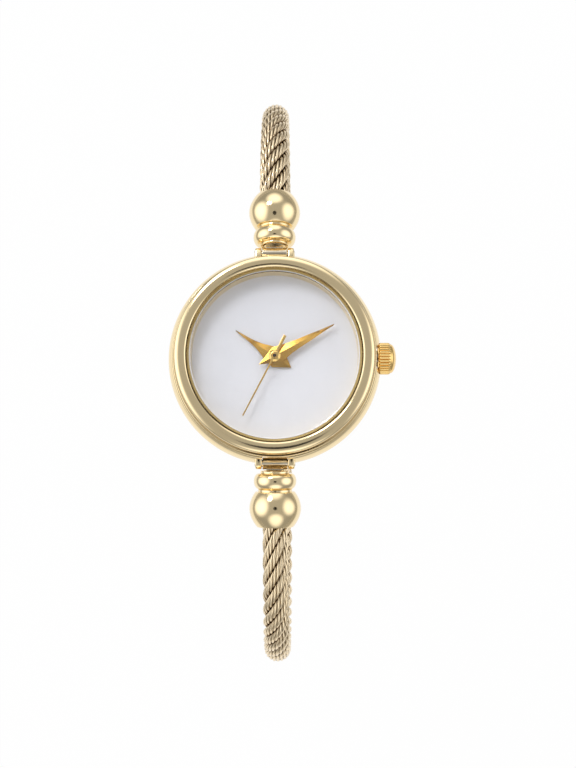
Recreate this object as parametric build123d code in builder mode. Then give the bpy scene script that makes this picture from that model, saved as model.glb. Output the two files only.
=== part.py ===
from build123d import *
import math
import os

# Bangle watch: a small quartz watch head on a stiff twisted-cable bangle, in millimetres.
# X points to the crown, Y to the wrist and Z to 12 o'clock. The origin is the centre of the
# case back's outer face, and every height is measured from that face towards the dial.
# Every turning piece of the movement turns about Y, and the movement's spots are (X, Z) pairs.

# Clearances shared by many pieces
running_gap = 0.05
seat_gap = 0.1
cut_overrun = 1.0

# Dial, crystal and bezel
dial_r = 10.2
dial_thickness = 0.4
dial_face_height = 4.3
dial_foot_r = 0.3
dial_foot_length = 0.8
dial_foot_spots = ((-7.0, 2.0), (6.0, -5.6))
crystal_r = 10.0
crystal_thickness = 0.9
crystal_bevel = 0.15
crystal_seat_height = 5.9
crystal_gasket_wall = 0.25
crystal_gasket_tall = 0.45
rehaut_foot_r = 9.65
rehaut_top_r = 9.85
bezel_r = 11.97
bezel_foot_bevel = 0.15
bezel_ledge_height = 5.25
bezel_groove_width = 0.1
bezel_groove_depth = 0.1
bezel_dome_r = 11.75
bezel_crest_r = 10.9
bezel_dome_inner_r = 10.4
bezel_top_height = 6.95
bezel_outer_swell = 0.4
bezel_inner_swell = 0.2

# Case middle
case_rim_r = 12.5
case_rim_height = 2.9
case_foot_inset = 1.15
case_shoulder_inset = 0.4
bezel_seat_height = 4.6

# Case back
back_thickness = 0.8
back_flange_thickness = 0.5
back_flange_r = 11.0
back_flange_edge = 0.15
back_flat_r = 9.6
back_rim_r = 10.0
back_rim_wall = 0.5
back_rim_height = 1.3
back_lip_height = 1.15
back_lip_half = 0.15
back_gasket_tall = 0.35

# Ears of the case, with the pin at 12 o'clock and the bar at 6 o'clock
pin_height = 3.8
pin_r = 0.4
pin_stand = 0.1
ear_gap = 3.1
ear_thickness = 0.75
ear_tip_r = 0.68
ear_root_inset = 1.2
ear_root_depth = 0.4
ear_root_low = 1.9
ear_root_high = 4.4
notch_gap = 0.3

# Hinge knuckle, hook, link and ferrule, measured along the end's own axis from the pin
end_lean = 12.0
knuckle_r = 0.7
knuckle_side_gap = 0.1
tang_width = 2.0
tang_thickness = 0.7
tang_end = 1.7
flange_start = 0.85
flange_end = 1.15
flange_r = 1.7
bead_waist_r = 1.9
bead_r = 2.5
bead_end = 3.0
spigot_r = 1.0
spigot_end = 3.9
collar_r = 2.0
collar_end = 3.3
ferrule_near_r = 2.3
ferrule_r = 3.03
ferrule_far_r = 2.15
ferrule_end = 7.45
cable_socket_end = 4.3

# Cable of the bangle: three arcs a side, from the ferrule to the middle of the wrist's far side.
# Its strands are laid round one another, and each end is pressed into a round plug.
cable_r = 1.7
cable_plug_end = 6.95
strand_count = 6
strand_lay = 13.2
strand_reach_share = 0.98
strand_r_share = 0.345
lay_steps_per_turn = 16
cable_straight = 0.35
bangle_half_height = 32.8
bangle_side_bend_r = 25.5
bangle_side_bend_turn = 55.0

# Crown and stem, along X
stem_height = 3.0
stem_r = 0.45
stem_inner_x = 4.6
stem_groove_x = 6.4
stem_groove_width = 0.4
stem_groove_r = 0.25
stem_grip = 1.72
tube_r = 0.95
tube_stand = 0.5
crown_r = 1.87
crown_pocket_inset = 0.55
crown_face_gap = 0.13
crown_collar_r = 1.65
crown_collar_length = 0.17
crown_flute_length = 1.3
crown_dome_length = 0.75
crown_dome_edge_r = 1.78
crown_well_r = 1.35
crown_well_depth = 1.07
crown_flutes = 30
crown_flute_r = 0.13
crown_flute_centre_r = 1.93
crown_gasket_inset = 0.07
crown_gasket_width = 0.3
crown_travel = 0.6

# Movement: plate, ring and bridge
movement_width = 15.3
movement_length = 17.8
movement_r = 9.4
plate_back_height = 2.3
recess_height = 3.1
recess_centre_r = 2.75
recess_minute_r = 2.6
pivot_r = 0.12
pivot_hole_depth = 0.3
pivot_start_height = 1.15
pivot_end_height = 2.5
ring_r = 10.2
bridge_start_height = 1.1
bridge_thickness = 0.25
bridge_edge_r = 0.8
pillar_r = 0.5
pillar_spots = ((-5.0, 2.6), (4.3, 1.9), (2.6, -1.9))
screw_r = 0.25
screw_head_r = 0.42
screw_head_tall = 0.15
screw_end_height = 2.9

# Battery, coil, stator and electronics
battery_spot = (-2.6, -5.13)
battery_r = 3.4
battery_start_height = 1.25
battery_thickness = 2.15
clamp_thickness = 0.15
clamp_pad_r = 1.2
clamp_foot_spot = (1.5, -8.2)
coil_z = 6.3
coil_r = 0.85
coil_half_length = 3.1
coil_flange_r = 0.95
coil_flange_thickness = 0.2
coil_pocket_gap = 0.1
core_half_length = 4.2
core_width = 0.9
core_thickness = 0.25
stator_thickness = 0.25
stator_below_rotor = 1.084
stator_bar_width = 2.1
stator_arm_width = 0.8
stator_arm_end_z = 6.9
stator_hole_r = 0.8
board_low = (1.2, -7.6)
board_high = (6.9, -2.8)
board_r = 9.2
board_thickness = 0.15
quartz_r = 0.5
quartz_start = (1.8, -6.4)
quartz_length = 3.8
chip_spot = (3.2, -4.2)
chip_width = 1.8
chip_thickness = 0.3
lever_thickness = 0.2
lever_pin_r = 0.15
lever_tail = (5.4, -2.2)
lever_head_r = 0.4

# Going train: each mesh has a centre distance, its two tooth counts and its direction
addendum_share = 0.9
dedendum_share = 1.1
tooth_tip_share = 0.11
tooth_root_share = 0.27
wheel_thickness = 0.12
fourth_teeth = 30
fifth_pinion_teeth = 6
fifth_distance = 2.52
fifth_direction = 75.0
fifth_teeth = 36
rotor_pinion_teeth = 6
rotor_distance = 2.415
rotor_direction = 50.0
fourth_pinion_teeth = 6
third_teeth = 45
third_distance = 2.55
third_direction = 165.0
third_pinion_teeth = 6
centre_teeth = 48
rotor_magnet_r = 0.65
rotor_magnet_start = 1.8
rotor_magnet_end = 2.2
rotor_pinion_start = 1.36
rotor_pinion_end = 1.62
fifth_wheel_start = 1.4
fifth_pinion_end = 1.76
fourth_wheel_start = 1.6
fourth_pinion_end = 2.0
third_wheel_start = 1.82
third_pinion_end = 2.22
centre_wheel_start = 2.05

# Motion work and the tubes that carry the hands
cannon_teeth = 12
minute_teeth = 36
minute_distance = 3.12
minute_direction = 100.0
minute_pinion_teeth = 10
hour_teeth = 40
arbor_r = 0.2
tube_wall = 0.15
cannon_start = 3.2
cannon_teeth_end = 3.4
minute_wheel_start = 3.22
minute_pinion_end = 3.75
hour_wheel_start = 3.55
hour_wheel_thickness = 0.15
minute_post_end = 3.8
centre_tube_end = 4.9
dial_hole_gap = 0.15

# Hands: heights, and the times that they show, clockwise from 12 o'clock
hand_thickness = 0.15
hour_hand_start = 4.55
minute_hand_start = 4.95
seconds_hand_start = 5.3
hour_hand_angle = 304.3
minute_hand_angle = 61.9
seconds_hand_angle = 207.7
hour_hand_length = 5.5
hour_hand_half_width = 1.2
hour_hand_tail = 2.35
hour_flank_shares = (
    (-0.08, 1.0),
    (0.145, 0.77),
    (0.236, 0.62),
    (0.31, 0.5),
    (0.42, 0.34),
    (0.64, 0.17),
    (1.0, 0.04),
)
minute_hand_length = 7.9
minute_hand_half_width = 1.05
minute_hand_tail = 2.1
minute_flank_shares = (
    (0.03, 1.0),
    (0.15, 0.81),
    (0.25, 0.63),
    (0.38, 0.51),
    (0.63, 0.32),
    (0.886, 0.13),
    (1.0, 0.05),
)
seconds_hand_length = 8.0
seconds_hand_width = 0.26
seconds_tail_length = 2.7
seconds_tail_width = 0.4
seconds_hub_r = 0.7
seconds_hub_thickness = 0.25

# Sizes that follow from the ones above
dial_back_height = dial_face_height - dial_thickness
case_bore_r = dial_r + seat_gap
ring_start_height = back_rim_height
bezel_bore_r = crystal_r + crystal_gasket_wall
case_foot_r = case_rim_r - case_foot_inset
case_shoulder_r = case_rim_r - case_shoulder_inset
pin_reach = case_rim_r
ear_root_reach = case_rim_r - ear_root_inset
tube_start_x = case_bore_r + seat_gap
tube_end_x = case_rim_r + tube_stand
crown_pocket_x = case_rim_r - crown_pocket_inset
crown_face_x = crown_pocket_x + crown_face_gap
crown_collar_end_x = crown_face_x + crown_collar_length
crown_flute_end_x = crown_collar_end_x + crown_flute_length
crown_end_x = crown_flute_end_x + crown_dome_length
crown_well_x = crown_face_x + crown_well_depth
crown_gasket_start_x = crown_face_x + crown_gasket_inset
crown_gasket_end_x = crown_gasket_start_x + crown_gasket_width
stem_end_x = crown_face_x + stem_grip
notch_z = pin_reach - knuckle_r - notch_gap
knuckle_bore_r = pin_r + running_gap
knuckle_width = ear_gap - 2 * knuckle_side_gap
stem_bore_r = stem_r + running_gap
gasket_bore_r = tube_r + running_gap
pivot_hole_r = pivot_r + running_gap
pillar_end_height = plate_back_height
bridge_end_height = bridge_start_height + bridge_thickness
battery_end_height = battery_start_height + battery_thickness
clamp_start_height = battery_start_height - clamp_thickness
stator_start_height = plate_back_height - stator_thickness
core_start_height = stator_start_height - core_thickness
coil_height = stator_start_height - core_thickness / 2
board_start_height = plate_back_height - board_thickness
lever_end_height = plate_back_height - running_gap
lever_pin_end_height = stem_height - stem_groove_r - running_gap / 2
centre_tube_bore_r = arbor_r + running_gap
centre_tube_r = centre_tube_bore_r + tube_wall
cannon_bore_r = centre_tube_r + running_gap
cannon_tube_r = cannon_bore_r + tube_wall
hour_tube_bore_r = cannon_tube_r + running_gap
hour_tube_r = hour_tube_bore_r + tube_wall + running_gap
cannon_tube_end = minute_hand_start + hand_thickness
hour_tube_end = hour_hand_start + hand_thickness
arbor_end_height = seconds_hand_start + seconds_hub_thickness - running_gap
fourth_pitch_r = fifth_distance * fourth_teeth / (fourth_teeth + fifth_pinion_teeth)
fifth_pinion_pitch_r = fifth_distance - fourth_pitch_r
fifth_pitch_r = rotor_distance * fifth_teeth / (fifth_teeth + rotor_pinion_teeth)
rotor_pinion_pitch_r = rotor_distance - fifth_pitch_r
third_pitch_r = third_distance * third_teeth / (third_teeth + fourth_pinion_teeth)
fourth_pinion_pitch_r = third_distance - third_pitch_r
centre_pitch_r = third_distance * centre_teeth / (centre_teeth + third_pinion_teeth)
third_pinion_pitch_r = third_distance - centre_pitch_r
minute_pitch_r = minute_distance * minute_teeth / (minute_teeth + cannon_teeth)
cannon_pitch_r = minute_distance - minute_pitch_r
hour_pitch_r = minute_distance * hour_teeth / (hour_teeth + minute_pinion_teeth)
minute_pinion_pitch_r = minute_distance - hour_pitch_r


def disc_plane(height):
    """The plane square to the watch's axis at a height above the case back."""
    return Plane.XZ.offset(height)


def spot_from(start, distance, direction):
    """The spot at a distance from another, in a direction counted from X towards 12 o'clock."""
    turn = math.radians(direction)
    return (start[0] + distance * math.cos(turn), start[1] + distance * math.sin(turn))


def toothed_blank(teeth, pitch_r, height, spot, turn):
    """A toothed outline with straight flanks and one tooth at the turn."""
    module = 2 * pitch_r / teeth
    tip_r = pitch_r + addendum_share * module
    root_r = pitch_r - dedendum_share * module
    tooth_corners = (
        (root_r, -tooth_root_share),
        (tip_r, -tooth_tip_share),
        (tip_r, tooth_tip_share),
        (root_r, tooth_root_share),
    )
    outline = [
        spot_from(spot, radius, turn + 360 * (tooth + step) / teeth)
        for tooth in range(teeth)
        for radius, step in tooth_corners
    ]
    with BuildSketch(disc_plane(height)) as blank:
        with BuildLine():
            Polyline(*outline, close=True)
        make_face()
    return blank.sketch


def gap_turn(direction, teeth):
    """The turn that puts a gap, not a tooth, towards the wheel that it meshes with."""
    return direction + 180 + 180 / teeth


def dart_outline(length, half_width, tail, flank_shares, height):
    """A hand's outline: a pointed tail, its widest corners, then hollow flanks to a fine tip."""
    flank = [(width * half_width, along * length) for along, width in flank_shares]
    with BuildSketch(disc_plane(height)) as outline:
        with BuildLine():
            Line((0, -tail), flank[0])
            Spline(*flank)
            Line(flank[-1], (-flank[-1][0], flank[-1][1]))
            Spline(*[(-across, along) for across, along in flank])
            Line((-flank[0][0], flank[0][1]), (0, -tail))
        make_face()
    return outline.sketch


centre_spot = (0, 0)
fifth_spot = spot_from(centre_spot, fifth_distance, fifth_direction)
rotor_spot = spot_from(fifth_spot, rotor_distance, rotor_direction)
third_spot = spot_from(centre_spot, third_distance, third_direction)
minute_spot = spot_from(centre_spot, minute_distance, minute_direction)
stator_low_z = rotor_spot[1] - stator_below_rotor
stem_centre = (-stem_height, 0)
screw_spots = pillar_spots + (clamp_foot_spot,)

os.makedirs("parts", exist_ok=True)


# Case middle: a turned ring with two pairs of ears, notched between them for the knuckles
with BuildPart() as case_middle:
    with BuildSketch(Plane.XY):
        with BuildLine():
            Line((case_bore_r, -back_flange_thickness), (case_foot_r, -back_flange_thickness))
            ThreePointArc(
                (case_foot_r, -back_flange_thickness),
                (case_rim_r, -case_rim_height),
                (case_shoulder_r, -bezel_seat_height),
            )
            Line((case_shoulder_r, -bezel_seat_height), (case_bore_r, -bezel_seat_height))
            Line((case_bore_r, -bezel_seat_height), (case_bore_r, -back_flange_thickness))
        make_face()
    revolve(axis=Axis.Y)
    for end in (1, -1):
        with BuildSketch(disc_plane(0)):
            with Locations((0, end * (notch_z + case_rim_r / 2))):
                Rectangle(ear_gap, case_rim_r)
        extrude(amount=bezel_seat_height, mode=Mode.SUBTRACT)
        for ear_start in (ear_gap / 2, -ear_gap / 2 - ear_thickness):
            with BuildSketch(Plane.YZ.offset(ear_start)):
                with Locations((-pin_height, end * pin_reach)):
                    Circle(ear_tip_r)
                with Locations((-(ear_root_low + ear_root_high) / 2, end * ear_root_reach)):
                    Rectangle(ear_root_high - ear_root_low, ear_root_depth)
                make_hull()
            extrude(amount=ear_thickness)
        with BuildSketch(Plane.YZ):
            with Locations((-pin_height, end * pin_reach)):
                Circle(pin_r)
        extrude(amount=ear_gap, both=True, mode=Mode.SUBTRACT)
    with BuildSketch(Plane.YZ.offset(crown_pocket_x)):
        with Locations(stem_centre):
            Circle(crown_r + 2 * seat_gap)
    extrude(amount=cut_overrun, mode=Mode.SUBTRACT)
    with BuildSketch(Plane.YZ.offset(tube_start_x - seat_gap - cut_overrun)):
        with Locations(stem_centre):
            Circle(tube_r)
    extrude(amount=case_rim_r - tube_start_x + 2 * cut_overrun, mode=Mode.SUBTRACT)
case_middle.part.label = "case_middle"
export_step(case_middle.part, "parts/case_middle.step")

# Bezel: pressed into the case bore, with a broad low dome, an outer ledge and the inner rehaut
with BuildPart() as bezel:
    with BuildSketch(Plane.XY):
        with BuildLine():
            Polyline(
                (bezel_dome_inner_r, -(bezel_top_height - bezel_inner_swell)),
                (bezel_bore_r, -(bezel_top_height - bezel_inner_swell - crystal_bevel)),
                (bezel_bore_r, -crystal_seat_height),
                (rehaut_top_r, -crystal_seat_height),
                (rehaut_foot_r, -dial_face_height),
                (case_bore_r, -dial_face_height),
                (case_bore_r, -bezel_seat_height),
                (bezel_r - bezel_foot_bevel, -bezel_seat_height),
                (bezel_r, -(bezel_seat_height + bezel_foot_bevel)),
                (bezel_r, -bezel_ledge_height),
                (bezel_dome_r + bezel_groove_width, -bezel_ledge_height),
                (bezel_dome_r + bezel_groove_width, -(bezel_ledge_height - bezel_groove_depth)),
                (bezel_dome_r, -(bezel_ledge_height - bezel_groove_depth)),
                (bezel_dome_r, -(bezel_top_height - bezel_outer_swell)),
            )
            EllipticalCenterArc(
                (bezel_crest_r, -(bezel_top_height - bezel_outer_swell)),
                bezel_dome_r - bezel_crest_r,
                bezel_outer_swell,
                start_angle=270,
                arc_size=90,
            )
            EllipticalCenterArc(
                (bezel_crest_r, -(bezel_top_height - bezel_inner_swell)),
                bezel_crest_r - bezel_dome_inner_r,
                bezel_inner_swell,
                start_angle=180,
                arc_size=90,
            )
        make_face()
    revolve(axis=Axis.Y)
bezel.part.label = "bezel"
export_step(bezel.part, "parts/bezel.step")

# Crystal: flat mineral glass with a bevelled top edge
with BuildPart() as crystal:
    with BuildSketch(disc_plane(crystal_seat_height)):
        Circle(crystal_r)
    extrude(amount=crystal_thickness)
    chamfer(crystal.edges().filter_by(GeomType.CIRCLE).sort_by(Axis.Y)[0], length=crystal_bevel)
crystal.part.label = "crystal"
export_step(crystal.part, "parts/crystal.step")

# Crystal gasket: the nylon ring that the glass is pressed into
with BuildPart() as crystal_gasket:
    with BuildSketch(disc_plane(crystal_seat_height)):
        Circle(bezel_bore_r)
        Circle(crystal_r, mode=Mode.SUBTRACT)
    extrude(amount=crystal_gasket_tall)
crystal_gasket.part.label = "crystal_gasket"
export_step(crystal_gasket.part, "parts/crystal_gasket.step")

# Dial: a bare plate with two feet that stand in the movement
with BuildPart() as dial:
    with BuildSketch(disc_plane(dial_back_height)):
        Circle(dial_r)
        Circle(hour_tube_r + dial_hole_gap, mode=Mode.SUBTRACT)
    extrude(amount=dial_thickness)
    with BuildSketch(disc_plane(dial_back_height)):
        with Locations(*dial_foot_spots):
            Circle(dial_foot_r)
    extrude(amount=-dial_foot_length)
dial.part.label = "dial"
export_step(dial.part, "parts/dial.step")

# Case back: a lid with a flat outer face and a lip that clicks into the case bore
with BuildPart() as case_back:
    with BuildSketch(Plane.XY):
        with BuildLine():
            Polyline(
                (0, 0),
                (back_flat_r, 0),
                (back_flange_r, -(back_flange_thickness - back_flange_edge)),
                (back_flange_r, -back_flange_thickness),
                (back_rim_r, -back_flange_thickness),
                (back_rim_r, -(back_lip_height - back_lip_half)),
                (case_bore_r, -back_lip_height),
                (back_rim_r, -back_rim_height),
                (back_rim_r - back_rim_wall, -back_rim_height),
                (back_rim_r - back_rim_wall, -back_thickness),
                (0, -back_thickness),
                close=True,
            )
        make_face()
    revolve(axis=Axis.Y)
case_back.part.label = "case_back"
export_step(case_back.part, "parts/case_back.step")

# Case back gasket: a flat rubber ring round the lid's rim
with BuildPart() as case_back_gasket:
    with BuildSketch(disc_plane(back_flange_thickness)):
        Circle(case_bore_r)
        Circle(back_rim_r, mode=Mode.SUBTRACT)
    extrude(amount=back_gasket_tall)
case_back_gasket.part.label = "case_back_gasket"
export_step(case_back_gasket.part, "parts/case_back_gasket.step")

# Hinge pin and clasp bar: two steel pins, pressed through the ears
with BuildPart() as hinge_pin:
    with BuildSketch(Plane.YZ):
        with Locations((-pin_height, pin_reach)):
            Circle(pin_r)
    extrude(amount=ear_gap / 2 + ear_thickness + pin_stand, both=True)
hinge_pin.part.label = "hinge_pin"
export_step(hinge_pin.part, "parts/hinge_pin.step")

with BuildPart() as clasp_bar:
    with BuildSketch(Plane.YZ):
        with Locations((-pin_height, -pin_reach)):
            Circle(pin_r)
    extrude(amount=ear_gap / 2 + ear_thickness + pin_stand, both=True)
clasp_bar.part.label = "clasp_bar"
export_step(clasp_bar.part, "parts/clasp_bar.step")

# Crown tube: pressed into the case wall, and the stem runs in it
with BuildPart() as crown_tube:
    with BuildSketch(Plane.YZ.offset(tube_start_x)):
        with Locations(stem_centre):
            Circle(tube_r)
            Circle(stem_bore_r, mode=Mode.SUBTRACT)
    extrude(amount=tube_end_x - tube_start_x)
crown_tube.part.label = "crown_tube"
export_step(crown_tube.part, "parts/crown_tube.step")

# Main plate: carries the train, the cell and the coil on its back, the motion work on its face
with BuildPart() as main_plate:
    with BuildSketch(disc_plane(plate_back_height)):
        Rectangle(movement_width, movement_length)
        Circle(movement_r, mode=Mode.INTERSECT)
        Circle(cannon_bore_r, mode=Mode.SUBTRACT)
    extrude(amount=dial_back_height - plate_back_height)
    with BuildSketch(disc_plane(recess_height)):
        Circle(recess_centre_r)
        with Locations(minute_spot):
            Circle(recess_minute_r)
    extrude(amount=dial_back_height - recess_height, mode=Mode.SUBTRACT)
    with BuildSketch(disc_plane(plate_back_height)):
        with Locations(battery_spot):
            Circle(battery_r + running_gap)
    extrude(amount=battery_end_height - plate_back_height, mode=Mode.SUBTRACT)
    with BuildSketch(disc_plane(plate_back_height)):
        with Locations((0, coil_z)):
            Rectangle(2 * (coil_half_length + coil_pocket_gap), 2 * (coil_flange_r + coil_pocket_gap / 2))
    extrude(amount=coil_height + coil_flange_r + seat_gap - plate_back_height, mode=Mode.SUBTRACT)
    with BuildSketch(disc_plane(plate_back_height)):
        with Locations(third_spot, fifth_spot, rotor_spot):
            Circle(pivot_hole_r)
    extrude(amount=pivot_hole_depth, mode=Mode.SUBTRACT)
    with BuildSketch(disc_plane(plate_back_height)):
        with Locations(*screw_spots):
            Circle(screw_r)
    extrude(amount=screw_end_height - plate_back_height, mode=Mode.SUBTRACT)
    with BuildSketch(disc_plane(dial_back_height - dial_foot_length)):
        with Locations(*dial_foot_spots):
            Circle(dial_foot_r)
    extrude(amount=dial_foot_length, mode=Mode.SUBTRACT)
    with BuildSketch(Plane.YZ.offset(stem_inner_x - 2 * seat_gap)):
        with Locations(stem_centre):
            Circle(stem_bore_r)
    extrude(amount=movement_width / 2, mode=Mode.SUBTRACT)
    with BuildSketch(disc_plane(plate_back_height)):
        with Locations((stem_groove_x + crown_travel / 2, 0)):
            Rectangle(crown_travel + 2 * lever_pin_r + 2 * seat_gap, 2 * (lever_pin_r + running_gap))
    extrude(amount=stem_height - plate_back_height, mode=Mode.SUBTRACT)
    with BuildSketch(disc_plane(recess_height)):
        with Locations(minute_spot):
            Circle(arbor_r)
    extrude(amount=minute_post_end - recess_height)
main_plate.part.label = "main_plate"
export_step(main_plate.part, "parts/main_plate.step")

# Movement ring: the plastic spacer that centres the movement in the case
with BuildPart() as movement_ring:
    with BuildSketch(disc_plane(ring_start_height)):
        Circle(ring_r)
    extrude(amount=dial_back_height - ring_start_height)
    with BuildSketch(disc_plane(ring_start_height)):
        Rectangle(movement_width + 2 * running_gap, movement_length + 2 * running_gap)
        Circle(movement_r + running_gap, mode=Mode.INTERSECT)
    extrude(amount=dial_back_height - ring_start_height, mode=Mode.SUBTRACT)
    with BuildSketch(Plane.YZ.offset(movement_width / 2 - seat_gap)):
        with Locations(stem_centre):
            Circle(stem_bore_r + seat_gap)
    extrude(amount=ring_r, mode=Mode.SUBTRACT)
movement_ring.part.label = "movement_ring"
export_step(movement_ring.part, "parts/movement_ring.step")

# Train bridge: a thin plate on three pillars, over the wheels' back pivots
with BuildPart() as train_bridge:
    with BuildSketch(disc_plane(bridge_start_height)):
        with Locations(*pillar_spots, rotor_spot):
            Circle(bridge_edge_r)
        make_hull()
        with Locations(centre_spot, third_spot, fifth_spot, rotor_spot):
            Circle(pivot_hole_r, mode=Mode.SUBTRACT)
    extrude(amount=bridge_thickness)
    with BuildSketch(disc_plane(bridge_end_height)):
        with Locations(*pillar_spots):
            Circle(pillar_r)
    extrude(amount=pillar_end_height - bridge_end_height)
    with BuildSketch(disc_plane(bridge_start_height)):
        with Locations(*pillar_spots):
            Circle(screw_r)
    extrude(amount=pillar_end_height - bridge_start_height, mode=Mode.SUBTRACT)
train_bridge.part.label = "train_bridge"
export_step(train_bridge.part, "parts/train_bridge.step")

# Movement screws: four of one size, three for the bridge and one for the battery clamp
with BuildPart() as movement_screws:
    with BuildSketch(disc_plane(bridge_start_height)):
        with Locations(*screw_spots):
            Circle(screw_head_r)
    extrude(amount=-screw_head_tall)
    with BuildSketch(disc_plane(bridge_start_height)):
        with Locations(*screw_spots):
            Circle(screw_r)
    extrude(amount=screw_end_height - bridge_start_height)
movement_screws.part.label = "movement_screws"
export_step(movement_screws.part, "parts/movement_screws.step")

# Battery: a button cell in the plate's pocket
with BuildPart() as battery:
    with BuildSketch(disc_plane(battery_start_height)):
        with Locations(battery_spot):
            Circle(battery_r)
    extrude(amount=battery_thickness)
battery.part.label = "battery"
export_step(battery.part, "parts/battery.step")

# Battery clamp: a contact strip with a foot that is screwed to the plate
with BuildPart() as battery_clamp:
    with BuildSketch(disc_plane(clamp_start_height)):
        with Locations(battery_spot):
            Circle(clamp_pad_r)
        with Locations(clamp_foot_spot):
            Circle(pillar_r)
        make_hull()
    extrude(amount=clamp_thickness)
    with BuildSketch(disc_plane(clamp_start_height)):
        with Locations(clamp_foot_spot):
            Circle(pillar_r)
    extrude(amount=pillar_end_height - clamp_start_height)
    with BuildSketch(disc_plane(clamp_start_height)):
        with Locations(clamp_foot_spot):
            Circle(screw_r)
    extrude(amount=pillar_end_height - clamp_start_height, mode=Mode.SUBTRACT)
battery_clamp.part.label = "battery_clamp"
export_step(battery_clamp.part, "parts/battery_clamp.step")

# Coil: copper wound on a soft iron core, whose ends lie on the stator's arms
with BuildPart() as coil:
    with BuildSketch(Plane.YZ):
        with Locations((-coil_height, coil_z)):
            Circle(coil_r)
    extrude(amount=coil_half_length, both=True)
    for flange_x in (coil_half_length - coil_flange_thickness, -coil_half_length):
        with BuildSketch(Plane.YZ.offset(flange_x)):
            with Locations((-coil_height, coil_z)):
                Circle(coil_flange_r)
        extrude(amount=coil_flange_thickness)
    with BuildSketch(disc_plane(core_start_height)):
        with Locations((0, coil_z)):
            Rectangle(2 * core_half_length, core_width)
    extrude(amount=core_thickness)
coil.part.label = "coil"
export_step(coil.part, "parts/coil.step")

# Stator: a soft iron plate with the rotor's hole and two arms to the coil's core
with BuildPart() as stator:
    with BuildSketch(disc_plane(stator_start_height)):
        with Locations((0, stator_low_z + stator_bar_width / 2)):
            Rectangle(2 * core_half_length, stator_bar_width)
        arm_length = stator_arm_end_z - stator_low_z
        arm_x = core_half_length - stator_arm_width / 2
        with Locations((arm_x, stator_low_z + arm_length / 2), (-arm_x, stator_low_z + arm_length / 2)):
            Rectangle(stator_arm_width, arm_length)
        with Locations(rotor_spot):
            Circle(stator_hole_r, mode=Mode.SUBTRACT)
    extrude(amount=stator_thickness)
stator.part.label = "stator"
export_step(stator.part, "parts/stator.step")

# Circuit board with the quartz in its can and the chip
with BuildPart() as circuit_board:
    with BuildSketch(disc_plane(board_start_height)):
        with Locations(((board_low[0] + board_high[0]) / 2, (board_low[1] + board_high[1]) / 2)):
            Rectangle(board_high[0] - board_low[0], board_high[1] - board_low[1])
        Circle(board_r, mode=Mode.INTERSECT)
    extrude(amount=board_thickness)
circuit_board.part.label = "circuit_board"
export_step(circuit_board.part, "parts/circuit_board.step")

with BuildPart() as quartz_can:
    with BuildSketch(Plane.YZ.offset(quartz_start[0])):
        with Locations((-(board_start_height - quartz_r), quartz_start[1])):
            Circle(quartz_r)
    extrude(amount=quartz_length)
quartz_can.part.label = "quartz_can"
export_step(quartz_can.part, "parts/quartz_can.step")

with BuildPart() as ic_chip:
    with BuildSketch(disc_plane(board_start_height)):
        with Locations(chip_spot):
            Rectangle(chip_width, chip_width)
    extrude(amount=-chip_thickness)
ic_chip.part.label = "ic_chip"
export_step(ic_chip.part, "parts/ic_chip.step")

# Rotor: a magnet on a steel pivot, with the pinion that steps the train
with BuildPart() as rotor:
    with BuildSketch(disc_plane(pivot_start_height)):
        with Locations(rotor_spot):
            Circle(pivot_r)
    extrude(amount=pivot_end_height - pivot_start_height)
    with BuildSketch(disc_plane(rotor_magnet_start)):
        with Locations(rotor_spot):
            Circle(rotor_magnet_r)
    extrude(amount=rotor_magnet_end - rotor_magnet_start)
    rotor_leaves = toothed_blank(
        rotor_pinion_teeth,
        rotor_pinion_pitch_r,
        rotor_pinion_start,
        rotor_spot,
        gap_turn(rotor_direction, rotor_pinion_teeth),
    )
    extrude(rotor_leaves, amount=rotor_pinion_end - rotor_pinion_start)
rotor.part.label = "rotor"
export_step(rotor.part, "parts/rotor.step")

# Fifth wheel: steps down from the rotor to the seconds wheel
with BuildPart() as fifth_wheel:
    with BuildSketch(disc_plane(pivot_start_height)):
        with Locations(fifth_spot):
            Circle(pivot_r)
    extrude(amount=pivot_end_height - pivot_start_height)
    fifth_disc = toothed_blank(fifth_teeth, fifth_pitch_r, fifth_wheel_start, fifth_spot, rotor_direction)
    extrude(fifth_disc, amount=wheel_thickness)
    fifth_leaves = toothed_blank(
        fifth_pinion_teeth,
        fifth_pinion_pitch_r,
        fifth_wheel_start,
        fifth_spot,
        gap_turn(fifth_direction, fifth_pinion_teeth),
    )
    extrude(fifth_leaves, amount=fifth_pinion_end - fifth_wheel_start)
fifth_wheel.part.label = "fifth_wheel"
export_step(fifth_wheel.part, "parts/fifth_wheel.step")

# Fourth wheel: the seconds wheel, whose long arbor carries the seconds hand
with BuildPart() as fourth_wheel:
    with BuildSketch(disc_plane(pivot_start_height)):
        Circle(pivot_r)
    extrude(amount=fourth_wheel_start - pivot_start_height)
    with BuildSketch(disc_plane(fourth_wheel_start)):
        Circle(arbor_r)
    extrude(amount=arbor_end_height - fourth_wheel_start)
    fourth_disc = toothed_blank(
        fourth_teeth,
        fourth_pitch_r,
        fourth_wheel_start,
        centre_spot,
        fifth_direction,
    )
    extrude(fourth_disc, amount=wheel_thickness)
    fourth_leaves = toothed_blank(
        fourth_pinion_teeth,
        fourth_pinion_pitch_r,
        fourth_wheel_start,
        centre_spot,
        third_direction,
    )
    extrude(fourth_leaves, amount=fourth_pinion_end - fourth_wheel_start)
fourth_wheel.part.label = "fourth_wheel"
export_step(fourth_wheel.part, "parts/fourth_wheel.step")

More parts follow.
